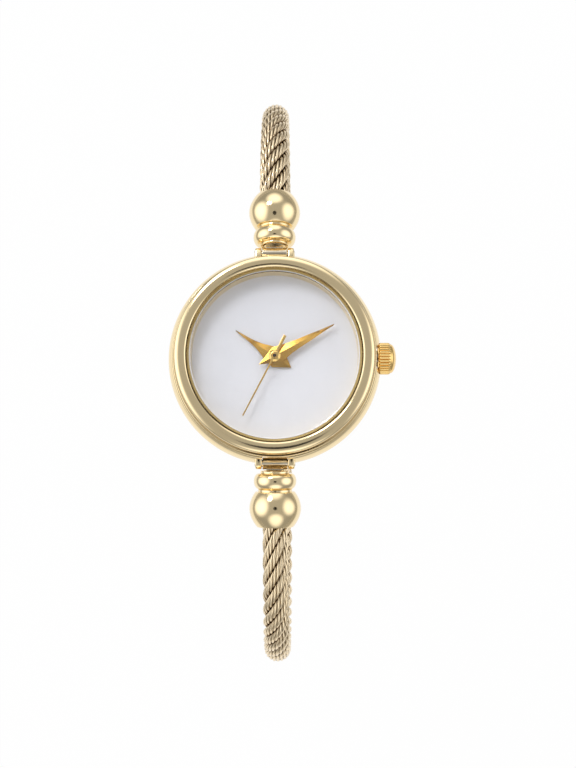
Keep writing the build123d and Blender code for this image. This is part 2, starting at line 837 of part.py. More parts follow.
# Third wheel: between the seconds wheel's pinion and the centre wheel
with BuildPart() as third_wheel:
    with BuildSketch(disc_plane(pivot_start_height)):
        with Locations(third_spot):
            Circle(pivot_r)
    extrude(amount=pivot_end_height - pivot_start_height)
    third_disc = toothed_blank(
        third_teeth,
        third_pitch_r,
        third_wheel_start,
        third_spot,
        gap_turn(third_direction, third_teeth),
    )
    extrude(third_disc, amount=wheel_thickness)
    third_leaves = toothed_blank(
        third_pinion_teeth,
        third_pinion_pitch_r,
        third_wheel_start,
        third_spot,
        gap_turn(third_direction, third_pinion_teeth),
    )
    extrude(third_leaves, amount=third_pinion_end - third_wheel_start)
third_wheel.part.label = "third_wheel"
export_step(third_wheel.part, "parts/third_wheel.step")

# Centre wheel: turns once an hour, and its tube goes up through the plate
with BuildPart() as centre_wheel:
    centre_disc = toothed_blank(
        centre_teeth,
        centre_pitch_r,
        centre_wheel_start,
        centre_spot,
        third_direction,
    )
    extrude(centre_disc, amount=wheel_thickness)
    with BuildSketch(disc_plane(centre_wheel_start)):
        Circle(centre_tube_r)
    extrude(amount=centre_tube_end - centre_wheel_start)
    with BuildSketch(disc_plane(centre_wheel_start)):
        Circle(centre_tube_bore_r)
    extrude(amount=centre_tube_end - centre_wheel_start, mode=Mode.SUBTRACT)
centre_wheel.part.label = "centre_wheel"
export_step(centre_wheel.part, "parts/centre_wheel.step")

# Cannon pinion: slips on the centre wheel's tube for setting, and carries the minute hand
with BuildPart() as cannon_pinion:
    cannon_leaves = toothed_blank(cannon_teeth, cannon_pitch_r, cannon_start, centre_spot, minute_direction)
    extrude(cannon_leaves, amount=cannon_teeth_end - cannon_start)
    with BuildSketch(disc_plane(cannon_start)):
        Circle(cannon_tube_r)
    extrude(amount=cannon_tube_end - cannon_start)
    with BuildSketch(disc_plane(cannon_start)):
        Circle(cannon_bore_r)
    extrude(amount=cannon_tube_end - cannon_start, mode=Mode.SUBTRACT)
cannon_pinion.part.label = "cannon_pinion"
export_step(cannon_pinion.part, "parts/cannon_pinion.step")

# Minute wheel: on the plate's post, with the pinion that drives the hour wheel
with BuildPart() as minute_wheel:
    minute_disc = toothed_blank(
        minute_teeth,
        minute_pitch_r,
        minute_wheel_start,
        minute_spot,
        gap_turn(minute_direction, minute_teeth),
    )
    extrude(minute_disc, amount=wheel_thickness)
    minute_leaves = toothed_blank(
        minute_pinion_teeth,
        minute_pinion_pitch_r,
        minute_wheel_start,
        minute_spot,
        gap_turn(minute_direction, minute_pinion_teeth),
    )
    extrude(minute_leaves, amount=minute_pinion_end - minute_wheel_start)
    with BuildSketch(disc_plane(minute_wheel_start)):
        with Locations(minute_spot):
            Circle(arbor_r + running_gap)
    extrude(amount=minute_pinion_end - minute_wheel_start, mode=Mode.SUBTRACT)
minute_wheel.part.label = "minute_wheel"
export_step(minute_wheel.part, "parts/minute_wheel.step")

# Hour wheel: its tube goes up through the dial and carries the hour hand
with BuildPart() as hour_wheel:
    hour_disc = toothed_blank(hour_teeth, hour_pitch_r, hour_wheel_start, centre_spot, minute_direction)
    extrude(hour_disc, amount=hour_wheel_thickness)
    with BuildSketch(disc_plane(hour_wheel_start)):
        Circle(hour_tube_r)
    extrude(amount=hour_tube_end - hour_wheel_start)
    with BuildSketch(disc_plane(hour_wheel_start)):
        Circle(hour_tube_bore_r)
    extrude(amount=hour_tube_end - hour_wheel_start, mode=Mode.SUBTRACT)
hour_wheel.part.label = "hour_wheel"
export_step(hour_wheel.part, "parts/hour_wheel.step")

# Hour and minute hands: dart-shaped plates pressed on their tubes
with BuildPart() as hour_hand:
    hour_outline = dart_outline(
        hour_hand_length, hour_hand_half_width, hour_hand_tail, hour_flank_shares, hour_hand_start
    )
    extrude(hour_outline.rotate(Axis.Y, hour_hand_angle), amount=hand_thickness)
    with BuildSketch(disc_plane(hour_hand_start)):
        Circle(hour_tube_r)
    extrude(amount=hand_thickness, mode=Mode.SUBTRACT)
hour_hand.part.label = "hour_hand"
export_step(hour_hand.part, "parts/hour_hand.step")

with BuildPart() as minute_hand:
    minute_outline = dart_outline(
        minute_hand_length, minute_hand_half_width, minute_hand_tail, minute_flank_shares, minute_hand_start
    )
    extrude(minute_outline.rotate(Axis.Y, minute_hand_angle), amount=hand_thickness)
    with BuildSketch(disc_plane(minute_hand_start)):
        Circle(cannon_tube_r)
    extrude(amount=hand_thickness, mode=Mode.SUBTRACT)
minute_hand.part.label = "minute_hand"
export_step(minute_hand.part, "parts/minute_hand.step")

# Seconds hand: a straight needle and a wider tail on a round hub
with BuildPart() as seconds_hand:
    with BuildSketch(disc_plane(seconds_hand_start)) as seconds_outline:
        with Locations((0, seconds_hand_length / 2)):
            Rectangle(seconds_hand_width, seconds_hand_length)
        with Locations((0, -seconds_tail_length / 2)):
            Rectangle(seconds_tail_width, seconds_tail_length)
    extrude(seconds_outline.sketch.rotate(Axis.Y, seconds_hand_angle), amount=hand_thickness)
    with BuildSketch(disc_plane(seconds_hand_start)):
        Circle(seconds_hub_r)
    extrude(amount=seconds_hub_thickness)
    with BuildSketch(disc_plane(seconds_hand_start)):
        Circle(arbor_r)
    extrude(amount=seconds_hub_thickness, mode=Mode.SUBTRACT)
seconds_hand.part.label = "seconds_hand"
export_step(seconds_hand.part, "parts/seconds_hand.step")

# Winding stem: from the movement to the crown, with a groove for the setting lever
with BuildPart() as winding_stem:
    with BuildSketch(Plane.YZ.offset(stem_inner_x)):
        with Locations(stem_centre):
            Circle(stem_r)
    extrude(amount=stem_end_x - stem_inner_x)
    with BuildSketch(Plane.YZ.offset(stem_groove_x - stem_groove_width / 2)):
        with Locations(stem_centre):
            Circle(stem_r)
            Circle(stem_groove_r, mode=Mode.SUBTRACT)
    extrude(amount=stem_groove_width, mode=Mode.SUBTRACT)
winding_stem.part.label = "winding_stem"
export_step(winding_stem.part, "parts/winding_stem.step")

# Setting lever: its pin rides in the stem's groove and moves along with the pulled crown
with BuildPart() as setting_lever:
    with BuildSketch(disc_plane(lever_end_height - lever_thickness)):
        with Locations((stem_groove_x, 0), lever_tail):
            Circle(lever_head_r)
        make_hull()
    extrude(amount=lever_thickness)
    with BuildSketch(disc_plane(lever_end_height - lever_thickness)):
        with Locations((stem_groove_x, 0)):
            Circle(lever_pin_r)
    extrude(amount=lever_pin_end_height - lever_end_height + lever_thickness)
setting_lever.part.label = "setting_lever"
export_step(setting_lever.part, "parts/setting_lever.step")

# Crown: a collar, a fluted band and a dome, hollow over the case tube
with BuildPart() as crown:
    with BuildSketch(Plane.YZ.offset(crown_collar_end_x)):
        with Locations(stem_centre):
            Circle(crown_r)
            with PolarLocations(crown_flute_centre_r, crown_flutes):
                Circle(crown_flute_r, mode=Mode.SUBTRACT)
    extrude(amount=crown_flute_end_x - crown_collar_end_x)
    with BuildSketch(Plane.YZ.offset(crown_face_x)):
        with Locations(stem_centre):
            Circle(crown_collar_r)
    extrude(amount=crown_collar_end_x - crown_face_x)
    with BuildSketch(Plane.XY) as crown_dome:
        with BuildLine():
            Line((crown_flute_end_x, -stem_height), (crown_flute_end_x, crown_dome_edge_r - stem_height))
            EllipticalCenterArc(
                (crown_flute_end_x, -stem_height),
                crown_end_x - crown_flute_end_x,
                crown_dome_edge_r,
                start_angle=0,
                arc_size=90,
            )
            Line((crown_end_x, -stem_height), (crown_flute_end_x, -stem_height))
        make_face()
    revolve(axis=Axis((0, -stem_height, 0), (1, 0, 0)))
    with BuildSketch(Plane.YZ.offset(crown_face_x)):
        with Locations(stem_centre):
            Circle(crown_well_r)
    extrude(amount=crown_well_x - crown_face_x, mode=Mode.SUBTRACT)
    with BuildSketch(Plane.YZ.offset(crown_face_x)):
        with Locations(stem_centre):
            Circle(stem_r)
    extrude(amount=stem_end_x - crown_face_x, mode=Mode.SUBTRACT)
crown.part.label = "crown"
export_step(crown.part, "parts/crown.step")

# Crown gasket: a rubber ring inside the crown, round the case tube
with BuildPart() as crown_gasket:
    with BuildSketch(Plane.YZ.offset(crown_gasket_start_x)):
        with Locations(stem_centre):
            Circle(crown_well_r)
            Circle(gasket_bore_r, mode=Mode.SUBTRACT)
    extrude(amount=crown_gasket_end_x - crown_gasket_start_x)
crown_gasket.part.label = "crown_gasket"
export_step(crown_gasket.part, "parts/crown_gasket.step")


# The bangle's two ends: end is 1 at 12 o'clock and -1 at 6 o'clock
def end_direction(end):
    """The way an end's pieces run, leaning back from the pin towards the wrist."""
    lean = math.radians(end_lean)
    return (0, math.sin(lean), end * math.cos(lean))


def end_plane(end):
    """The plane through an end's axis and X, with its Y along the end from the pin."""
    lean = math.radians(end_lean)
    square = (0, -end * math.cos(lean), math.sin(lean))
    return Plane(origin=(0, -pin_height, end * pin_reach), x_dir=(1, 0, 0), z_dir=square)


def end_axis(end):
    """The axis that an end's turned pieces are revolved about."""
    return Axis((0, -pin_height, end * pin_reach), end_direction(end))


def make_link(end):
    """A flange, a bead and a spigot, with a slot for the steel tang."""
    with BuildPart() as link:
        with BuildSketch(end_plane(end)):
            with BuildLine():
                Polyline(
                    (bead_waist_r, bead_end),
                    (spigot_r, bead_end),
                    (spigot_r, spigot_end),
                    (0, spigot_end),
                    (0, flange_start),
                    (flange_r, flange_start),
                    (flange_r, flange_end),
                    (bead_waist_r, flange_end),
                )
                bead_middle = (flange_end + bead_end) / 2
                ThreePointArc((bead_waist_r, flange_end), (bead_r, bead_middle), (bead_waist_r, bead_end))
            make_face()
        revolve(axis=end_axis(end))
        with BuildSketch(end_plane(end)):
            with Locations((0, (flange_start + tang_end) / 2)):
                Rectangle(tang_width, tang_end - flange_start)
        extrude(amount=tang_thickness / 2, both=True, mode=Mode.SUBTRACT)
    return link


def make_ferrule(end):
    """A collar and a barrel, bored for the link's spigot and for the cable's end."""
    with BuildPart() as ferrule:
        with BuildSketch(end_plane(end)):
            with BuildLine():
                Polyline(
                    (ferrule_far_r, ferrule_end),
                    (cable_r, ferrule_end),
                    (cable_r, cable_socket_end),
                    (0, cable_socket_end),
                    (0, spigot_end),
                    (spigot_r, spigot_end),
                    (spigot_r, bead_end),
                    (collar_r, bead_end),
                    (collar_r, collar_end),
                    (ferrule_near_r, collar_end),
                )
                ferrule_middle = (collar_end + ferrule_end) / 2
                Spline(
                    (ferrule_near_r, collar_end),
                    (ferrule_r, ferrule_middle),
                    (ferrule_far_r, ferrule_end),
                )
            make_face()
        revolve(axis=end_axis(end))
    return ferrule


def make_knuckle(end):
    """A steel barrel across the ears with a tang that is soldered into the link."""
    with BuildPart() as knuckle:
        with BuildSketch(Plane.YZ):
            with Locations((-pin_height, end * pin_reach)):
                Circle(knuckle_r)
        extrude(amount=knuckle_width / 2, both=True)
        with BuildSketch(end_plane(end)):
            with Locations((0, tang_end / 2)):
                Rectangle(tang_width, tang_end)
        extrude(amount=tang_thickness / 2, both=True)
        with BuildSketch(Plane.YZ):
            with Locations((-pin_height, end * pin_reach)):
                Circle(knuckle_bore_r)
        extrude(amount=knuckle_width, both=True, mode=Mode.SUBTRACT)
    return knuckle


upper_knuckle = make_knuckle(1)
upper_knuckle.part.label = "upper_knuckle"
export_step(upper_knuckle.part, "parts/upper_knuckle.step")

upper_link = make_link(1)
upper_link.part.label = "upper_link"
export_step(upper_link.part, "parts/upper_link.step")

upper_ferrule = make_ferrule(1)
upper_ferrule.part.label = "upper_ferrule"
export_step(upper_ferrule.part, "parts/upper_ferrule.step")

lower_link = make_link(-1)
lower_link.part.label = "lower_link"
export_step(lower_link.part, "parts/lower_link.step")

lower_ferrule = make_ferrule(-1)
lower_ferrule.part.label = "lower_ferrule"
export_step(lower_ferrule.part, "parts/lower_ferrule.step")

# Lower hook: a knuckle that is open towards the dial, so that it goes over the clasp bar
closed_hook = make_knuckle(-1)
with BuildPart() as lower_hook:
    add(closed_hook.part)
    with BuildSketch(Plane.YZ):
        with Locations((-pin_height - knuckle_r, -pin_reach)):
            Rectangle(2 * knuckle_r, 2 * knuckle_bore_r)
    extrude(amount=knuckle_width, both=True, mode=Mode.SUBTRACT)
lower_hook.part.label = "lower_hook"
export_step(lower_hook.part, "parts/lower_hook.step")

# Bangle cable: one stiff length from ferrule to ferrule, straight in each socket, then on arcs.
# The strands turn right-handed, so their section is swept along the path with a helix as its guide.
lean = math.radians(end_lean)
side_turn = math.radians(bangle_side_bend_turn)
exit_run = ferrule_end + cable_straight
plug_point = (
    cable_plug_end * math.sin(lean) - pin_height,
    cable_plug_end * math.cos(lean) + pin_reach,
)
exit_point = (exit_run * math.sin(lean) - pin_height, exit_run * math.cos(lean) + pin_reach)
end_bend_r = (bangle_half_height - exit_point[1]) / (1 - math.sin(lean))
back_arc_z = bangle_half_height - bangle_side_bend_r * (1 - math.cos(side_turn))
back_bend_r = back_arc_z / math.cos(side_turn)
with BuildLine(Plane.YZ) as cable_path:
    Line(plug_point, exit_point)
    end_bend = JernArc(exit_point, (math.sin(lean), math.cos(lean)), end_bend_r, end_lean - 90)
    side_bend = JernArc(end_bend @ 1, (1, 0), bangle_side_bend_r, -bangle_side_bend_turn)
    back_bend = JernArc(
        side_bend @ 1,
        (math.cos(side_turn), -math.sin(side_turn)),
        back_bend_r,
        -2 * (90 - bangle_side_bend_turn),
    )
    lower_side_bend = JernArc(
        back_bend @ 1,
        (-math.cos(side_turn), -math.sin(side_turn)),
        bangle_side_bend_r,
        -bangle_side_bend_turn,
    )
    lower_end_bend = JernArc(lower_side_bend @ 1, (-1, 0), end_bend_r, end_lean - 90)
    Line(lower_end_bend @ 1, (plug_point[0], -plug_point[1]))
cable_line = cable_path.wire()
cable_length = cable_line.length


def point_on_lay(along_share):
    """A point on the guide helix, at this share of the cable's length."""
    turned = 2 * math.pi * along_share * cable_length / strand_lay
    sideways = Vector(cable_r, 0, 0)
    outward = (cable_line % along_share).cross(sideways)
    return cable_line @ along_share + sideways * math.cos(turned) + outward * math.sin(turned)


lay_steps = round(lay_steps_per_turn * cable_length / strand_lay)
with BuildLine() as lay_guide:
    Spline(*[point_on_lay(step / lay_steps) for step in range(lay_steps + 1)])

strand_reach = cable_r * strand_reach_share
strand_r = strand_reach * strand_r_share
strand_place_r = strand_reach - strand_r
lay_plane = Plane(origin=cable_line @ 0, x_dir=(1, 0, 0), z_dir=cable_line % 0)
with BuildPart() as bangle_cable:
    for end in (1, -1):
        with BuildSketch(end_plane(end)):
            with Locations((cable_r / 2, (cable_socket_end + cable_plug_end) / 2)):
                Rectangle(cable_r, cable_plug_end - cable_socket_end)
        revolve(axis=end_axis(end))
    with BuildSketch(lay_plane) as lay_section:
        RegularPolygon(strand_place_r, strand_count)
        with PolarLocations(strand_place_r, strand_count):
            Circle(strand_r)
    sweep(path=cable_line, binormal=lay_guide.edge())
bangle_cable.part.label = "bangle_cable"
export_step(bangle_cable.part, "parts/bangle_cable.step")

plug_volume = 2 * math.pi * cable_r**2 * (cable_plug_end - cable_socket_end)
cable_volume = plug_volume + lay_section.sketch.area * cable_length
print(f"cable: length between the plugs {cable_length:.2f}")
print(f"bends {end_bend_r:.2f}, {bangle_side_bend_r:.2f}, {back_bend_r:.2f}")
print(f"cable volume {bangle_cable.part.volume:.2f} against {cable_volume:.2f}")
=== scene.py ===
import math

import bmesh
import bpy
from mathutils import Matrix, Vector


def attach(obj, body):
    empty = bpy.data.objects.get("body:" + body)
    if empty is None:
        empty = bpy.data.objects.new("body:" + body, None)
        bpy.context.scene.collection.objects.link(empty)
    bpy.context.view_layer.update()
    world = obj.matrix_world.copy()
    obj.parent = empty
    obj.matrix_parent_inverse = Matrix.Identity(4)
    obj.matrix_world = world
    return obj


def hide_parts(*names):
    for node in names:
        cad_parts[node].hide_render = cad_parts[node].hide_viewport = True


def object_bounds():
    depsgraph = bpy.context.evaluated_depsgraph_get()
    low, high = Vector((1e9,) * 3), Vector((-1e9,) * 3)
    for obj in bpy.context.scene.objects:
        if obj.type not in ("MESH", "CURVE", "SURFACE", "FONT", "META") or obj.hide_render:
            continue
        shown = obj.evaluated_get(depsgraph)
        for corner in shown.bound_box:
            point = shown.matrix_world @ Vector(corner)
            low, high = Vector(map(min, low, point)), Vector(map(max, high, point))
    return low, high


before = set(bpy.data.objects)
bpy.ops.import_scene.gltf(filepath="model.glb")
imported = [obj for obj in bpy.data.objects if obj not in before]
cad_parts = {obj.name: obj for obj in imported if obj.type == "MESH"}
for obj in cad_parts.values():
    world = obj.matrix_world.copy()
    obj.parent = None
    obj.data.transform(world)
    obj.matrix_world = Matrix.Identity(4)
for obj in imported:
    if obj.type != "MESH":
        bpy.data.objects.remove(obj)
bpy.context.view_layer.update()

# Case middle: the gold-plated round case body, turned from one blank, with two pairs of ears
# for the bangle's pins, a notch between each pair and a pocket for the crown at 3 o'clock.
mm = 0.001
turned_steps = 288
case_bore_r = 10.3
case_foot_r = 11.35
case_foot = 0.5
case_rim_r = 12.5
case_shoulder_r = 12.1
bezel_seat = 4.6
case_flank_steps = 24
case_bore_edge = 0.05
case_foot_edge = 0.1
case_shoulder_edge = 0.12
pin_height = 3.8
pin_reach = 12.5
ear_gap = 3.1
ear_thickness = 0.75
ear_tip_r = 0.68
ear_tip_first = 28
ear_tip_last = 152
ear_root_reach = 11.3
ear_root_depth = 0.25
ear_root_low = 1.9
ear_root_high = 4.4
ear_edge = 0.18
notch_inner_z = 11.5
notch_outer_z = 14.0
notch_low = -0.2
notch_high = bezel_seat + 0.4
crown_height = 3.0
pocket_r = 2.07
pocket_x = 11.95
pocket_length = 1.5
champagne = (0.95, 0.78, 0.48)
champagne_deep = (0.92, 0.74, 0.44)
polish = 0.09
polish_spread = 0.8


class Value:
    """A socket of a node tree that can be reckoned with like a number or a vector."""

    def __init__(self, tree, socket):
        self.tree = tree
        self.socket = socket

    def joined(self, operation, first, second):
        is_vector = any(isinstance(v, Value) and v.socket.type == "VECTOR" for v in (first, second))
        kind = "ShaderNodeVectorMath" if is_vector else "ShaderNodeMath"
        return self.tree.node(kind, {"operation": operation}, {0: first, 1: second})

    def __add__(self, other):
        return self.joined("ADD", self, other)

    def __radd__(self, other):
        return self.joined("ADD", other, self)

    def __sub__(self, other):
        return self.joined("SUBTRACT", self, other)

    def __rsub__(self, other):
        return self.joined("SUBTRACT", other, self)

    def __mul__(self, other):
        return self.joined("MULTIPLY", self, other)

    def __rmul__(self, other):
        return self.joined("MULTIPLY", other, self)

    def __truediv__(self, other):
        return self.joined("DIVIDE", self, other)

    def __rtruediv__(self, other):
        return self.joined("DIVIDE", other, self)

    def __lt__(self, other):
        return self.joined("LESS_THAN", self, other)

    def __gt__(self, other):
        return self.joined("GREATER_THAN", self, other)

    def through(self, operation):
        """The number put through a Math node that takes one number."""
        return self.tree.node("ShaderNodeMath", {"operation": operation}, {0: self})

    def length(self):
        """The length of the vector."""
        return self.tree.node("ShaderNodeVectorMath", {"operation": "LENGTH"}, {0: self}, "Value")

    def other(self, name):
        """Another output of the node that the socket is on."""
        return Value(self.tree, self.socket.node.outputs[name])


class Tree:
    """A node tree that is built node by node."""

    def __init__(self, tree):
        self.nodes = tree.nodes
        self.links = tree.links

    def feed(self, socket, value):
        if isinstance(value, Value):
            self.links.new(value.socket, socket)
        elif socket.type == "RGBA":
            socket.default_value = (*value, 1.0)
        else:
            socket.default_value = value

    def node(self, kind, settings, inputs, output=0):
        made = self.nodes.new(kind)
        for name, value in settings.items():
            setattr(made, name, value)
        for key, value in inputs.items():
            self.feed(made.inputs[key], value)
        return Value(self, made.outputs[output])

    def eased(self, value, start, end, low=0.0, high=1.0):
        """Goes smoothly from low to high while the value goes from start to end."""
        inputs = {"Value": value, 1: start, 2: end, 3: low, 4: high}
        return self.node("ShaderNodeMapRange", {"interpolation_type": "SMOOTHSTEP"}, inputs)


class Finish(Tree):
    """A material whose look is one Principled shader, with nodes for what varies on it."""

    def __init__(self, name):
        self.material = bpy.data.materials.new(name)
        self.material.use_nodes = True
        super().__init__(self.material.node_tree)
        self.shader = self.nodes["Principled BSDF"]
        self.surface = Value(self, self.shader.outputs[0])
        self.place = self.node("ShaderNodeTexCoord", {}, {}, "Object")

    def set(self, **values):
        for name, value in values.items():
            self.feed(self.shader.inputs[name.replace("_", " ")], value)

    def noise(self, scale, detail, stretch=(1.0, 1.0, 1.0)):
        spread = self.node("ShaderNodeMapping", {}, {"Vector": self.place, "Scale": stretch})
        return self.node("ShaderNodeTexNoise", {}, {"Vector": spread, "Scale": scale, "Detail": detail})

    def tint(self, share, first, second):
        return self.node("ShaderNodeMix", {"data_type": "RGBA"}, {0: share, 6: first, 7: second}, 2)

    def bump(self, height, strength, distance):
        inputs = {"Height": height, "Strength": strength, "Distance": distance}
        return self.node("ShaderNodeBump", {}, inputs)

    def from_axis(self):
        """How far a spot lies from the line through the middle of the dial."""
        return (self.place * (1, 0, 1)).length()

    def overlaid(self, share, shader):
        """Shows another shader over the surface, none of it at a share of 0 and it alone at 1."""
        self.surface = self.node("ShaderNodeMixShader", {}, {0: share, 1: self.surface, 2: shader})
        self.feed(self.nodes["Material Output"].inputs["Surface"], self.surface)


def oblong(left, right, near, far):
    """The four corners of an oblong."""
    return [(left, near), (right, near), (right, far), (left, far)]


def arc_points(centre, across, tall, first, last, steps):
    """Points on a circle or an ellipse between two angles in degrees."""
    angles = [math.radians(first + (last - first) * step / steps) for step in range(steps + 1)]
    return [(centre[0] + across * math.cos(a), centre[1] + tall * math.sin(a)) for a in angles]


def fillet(corner, before, after, radius, steps=5, most=0.45):
    """The points of a small curve that rounds off a corner, over at most a share of its sides."""
    corner, before, after = Vector(corner), Vector(before), Vector(after)
    to_before = (before - corner).normalized()
    to_after = (after - corner).normalized()
    half = to_before.angle(to_after) / 2
    setback = min(radius / math.tan(half), most * (before - corner).length, most * (after - corner).length)
    start = corner + to_before * setback
    end = corner + to_after * setback
    rounded = []
    for step in range(steps + 1):
        share = step / steps
        rounded.append(tuple(start.lerp(corner, share).lerp(corner.lerp(end, share), share)))
    return rounded


def added(name, data):
    """A new object of the scene."""
    thing = bpy.data.objects.new(name, data)
    bpy.context.scene.collection.objects.link(thing)
    return thing


def piece_from(form, name):
    """A mesh object made of a bmesh."""
    mesh = bpy.data.meshes.new(name)
    form.to_mesh(mesh)
    form.free()
    return added(name, mesh)


def outward(form):
    """The same bmesh with its faces turned outwards."""
    bmesh.ops.recalc_face_normals(form, faces=form.faces)
    return form


def strip(form, first, second):
    """A row of faces between two rows of points."""
    for index in range(len(first) - 1):
        form.faces.new((first[index], first[index + 1], second[index + 1], second[index]))


def turned(name, outline, centre=(0, 0, 0), axis=(0, -1, 0), steps=turned_steps):
    """A closed outline of (radius, along) points in millimetres, turned about an axis."""
    centre, axis = Vector(centre), Vector(axis).normalized()
    first_way = Vector((0, 0, 1) if axis.x else (1, 0, 0))
    second_way = axis.cross(first_way)
    form = bmesh.new()
    rings = []
    for step in range(steps):
        angle = 2 * math.pi * step / steps
        way = first_way * math.cos(angle) + second_way * math.sin(angle)
        rings.append([form.verts.new((centre + axis * along + way * r) * mm) for r, along in outline])
    for step in range(steps):
        here, there = rings[step], rings[(step + 1) % steps]
        for index in range(len(outline)):
            after = (index + 1) % len(outline)
            if outline[index][0] > 0 or outline[after][0] > 0:
                form.faces.new((here[index], here[after], there[after], there[index]))
    bmesh.ops.remove_doubles(form, verts=form.verts, dist=0.001 * mm)
    return piece_from(outward(form), name)


def slab(name, outline, plane, low, high):
    """A flat outline of points, pushed from low to high along the axis that plane names."""
    form = bmesh.new()
    spots = {
        "x": lambda a, b, h: (h, a, b),
        "y": lambda a, b, h: (a, h, b),
    }[plane]
    bottom = [form.verts.new(Vector(spots(a, b, low)) * mm) for a, b in outline]
    top = [form.verts.new(Vector(spots(a, b, high)) * mm) for a, b in outline]
    form.faces.new(bottom)
    form.faces.new(top)
    strip(form, bottom + bottom[:1], top + top[:1])
    return piece_from(outward(form), name)


def smoothed(piece, angle=32.0):
    """Smooth shading with sharp edges where faces meet at more than the angle."""
    piece.data.shade_smooth()
    piece.data.set_sharp_from_angle(angle=math.radians(angle))
    return piece


def baked(piece):
    """The piece's modifiers turned into plain mesh."""
    depsgraph = bpy.context.evaluated_depsgraph_get()
    mesh = bpy.data.meshes.new_from_object(piece.evaluated_get(depsgraph))
    piece.modifiers.clear()
    piece.data = mesh
    return piece


def cut(piece, cutter):
    """Takes the cutter's shape out of the piece."""
    modifier = piece.modifiers.new("cut", "BOOLEAN")
    modifier.operation = "DIFFERENCE"
    modifier.solver = "EXACT"
    modifier.object = cutter
    baked(piece)
    bpy.data.objects.remove(cutter)


def bevelled(piece, width, segments=3, angle=35.0):
    """Rounds off the edges where the piece's faces meet at more than the angle."""
    modifier = piece.modifiers.new("edge", "BEVEL")
    modifier.width = width * mm
    modifier.segments = segments
    modifier.limit_method = "ANGLE"
    modifier.angle_limit = math.radians(angle)
    return baked(piece)


def merged(name, pieces):
    """Several pieces as one object."""
    form = bmesh.new()
    for piece in pieces:
        form.from_mesh(piece.data)
        bpy.data.objects.remove(piece)
    return piece_from(form, name)


def fitted(piece, material, body, slot, *nodes):
    """Gives a finished piece its material and its body, and hides the carried-over nodes that it stands for.
    The slot is not used.
    """
    piece.data.materials.clear()
    piece.data.materials.append(material)
    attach(piece, body)
    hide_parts(*nodes)


polished = Finish("polished_gold")
polished.set(Metallic=1.0, Base_Color=polished.tint(polished.noise(260.0, 2.0), champagne, champagne_deep))
hairlines = polished.noise(9000.0, 3.0, (1.0, 0.12, 1.0))
polished.set(Roughness=polish + hairlines * (polish * polish_spread))
polished.set(Normal=polished.bump(polished.noise(420.0, 1.0), 0.03, 0.1 * mm))

case_flank = []
for step in range(case_flank_steps + 1):
    rise = step / case_flank_steps
    lean = case_foot_r + (case_shoulder_r - case_foot_r) * rise
    bow = 4 * rise * (1 - rise) * (case_rim_r - (case_foot_r + case_shoulder_r) / 2)
    case_flank.append((lean + bow, case_foot + (bezel_seat - case_foot) * rise))
foot_corner = (case_bore_r, case_foot)
seat_corner = (case_bore_r, bezel_seat)
case_outline = fillet(foot_corner, seat_corner, case_flank[0], case_bore_edge)
case_outline += fillet(case_flank[0], foot_corner, case_flank[2], case_foot_edge) + case_flank[2:-2]
case_outline += fillet(case_flank[-1], case_flank[-3], seat_corner, case_shoulder_edge)
case_outline += fillet(seat_corner, case_flank[-1], foot_corner, case_bore_edge)
case_ring = turned("case_ring", case_outline)
for end in (1, -1):
    notch = oblong(-ear_gap / 2, ear_gap / 2, end * notch_inner_z, end * notch_outer_z)
    cut(case_ring, slab("notch", notch, "y", -notch_high, -notch_low))
pocket_outline = oblong(0, pocket_r, -pocket_length, 0)
pocket_end = (pocket_x + pocket_length, -crown_height, 0)
cut(case_ring, turned("pocket", pocket_outline, pocket_end, (1, 0, 0), steps=96))
case_parts = [case_ring]
for end in (1, -1):
    ear_inner_z = end * (ear_root_reach - ear_root_depth)
    ear_tip = (-pin_height, end * pin_reach)
    first, last = end * ear_tip_first, end * ear_tip_last
    ear_outline = [(-ear_root_low, ear_inner_z), (-ear_root_low, end * ear_root_reach)]
    ear_outline += arc_points(ear_tip, ear_tip_r, ear_tip_r, first, last, steps=18)
    ear_outline += [(-ear_root_high, end * ear_root_reach), (-ear_root_high, ear_inner_z)]
    for ear_start in (ear_gap / 2, -ear_gap / 2 - ear_thickness):
        ear = slab("ear", ear_outline, "x", ear_start, ear_start + ear_thickness)
        case_parts.append(bevelled(ear, ear_edge))
case_middle = smoothed(merged("case_middle_skin", case_parts))
fitted(case_middle, polished.material, "head", "polished_gold", "case_middle")

# Case tube and stem: a turned steel tube pressed into the wall at 3 o'clock, the stem that runs
# in it, and the setting lever that holds the stem's groove.


def grained(name, colours, gloss, grain, relief=None, **values):
    """A finish whose one fine grain, of (scale, detail, stretch), runs between two colours. Its gloss is
    (roughness, spread), and its relief (strength, depth)."""
    finish = Finish(name)
    sway = finish.noise(*grain)
    finish.set(Base_Color=finish.tint(sway, *colours), Roughness=gloss[0] + sway * gloss[1], **values)
    if relief:
        finish.set(Normal=finish.bump(sway, *relief))
    return finish.material


def dressed(material, *nodes):
    """Gives carried-over nodes of the frame a material."""
    for node in nodes:
        for material_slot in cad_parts[node].material_slots:
            material_slot.material = material


drawn_grain = (2600.0, 4.0, (1.0, 14.0, 14.0))
drawn_relief = (0.12, 0.02 * mm)
fine_steel = grained(
    "fine_steel",
    ((0.62, 0.6, 0.56), (0.44, 0.42, 0.4)),
    (0.16, 0.16),
    drawn_grain,
    drawn_relief,
    Metallic=1.0,
)
dressed(fine_steel, "crown_tube", "winding_stem", "setting_lever")

# Movement: a brass plate and bridge, screwed together, with the train's wheels between them,
# a copper coil on its soft iron core, a green circuit board and a button cell under its clamp.
movement_brass = grained(
    "movement_brass",
    ((0.72, 0.52, 0.24), (0.6, 0.41, 0.17)),
    (0.28, 0.14),
    (1800.0, 4.0, (1.0, 1.0, 9.0)),
    (0.15, 0.02 * mm),
    Metallic=1.0,
)
dressed(movement_brass, "main_plate", "train_bridge", "third_wheel", "centre_wheel")
dressed(movement_brass, "fifth_wheel", "minute_wheel", "hour_wheel", "cannon_pinion")
dressed(fine_steel, "movement_screws", "battery_clamp", "stator", "rotor")
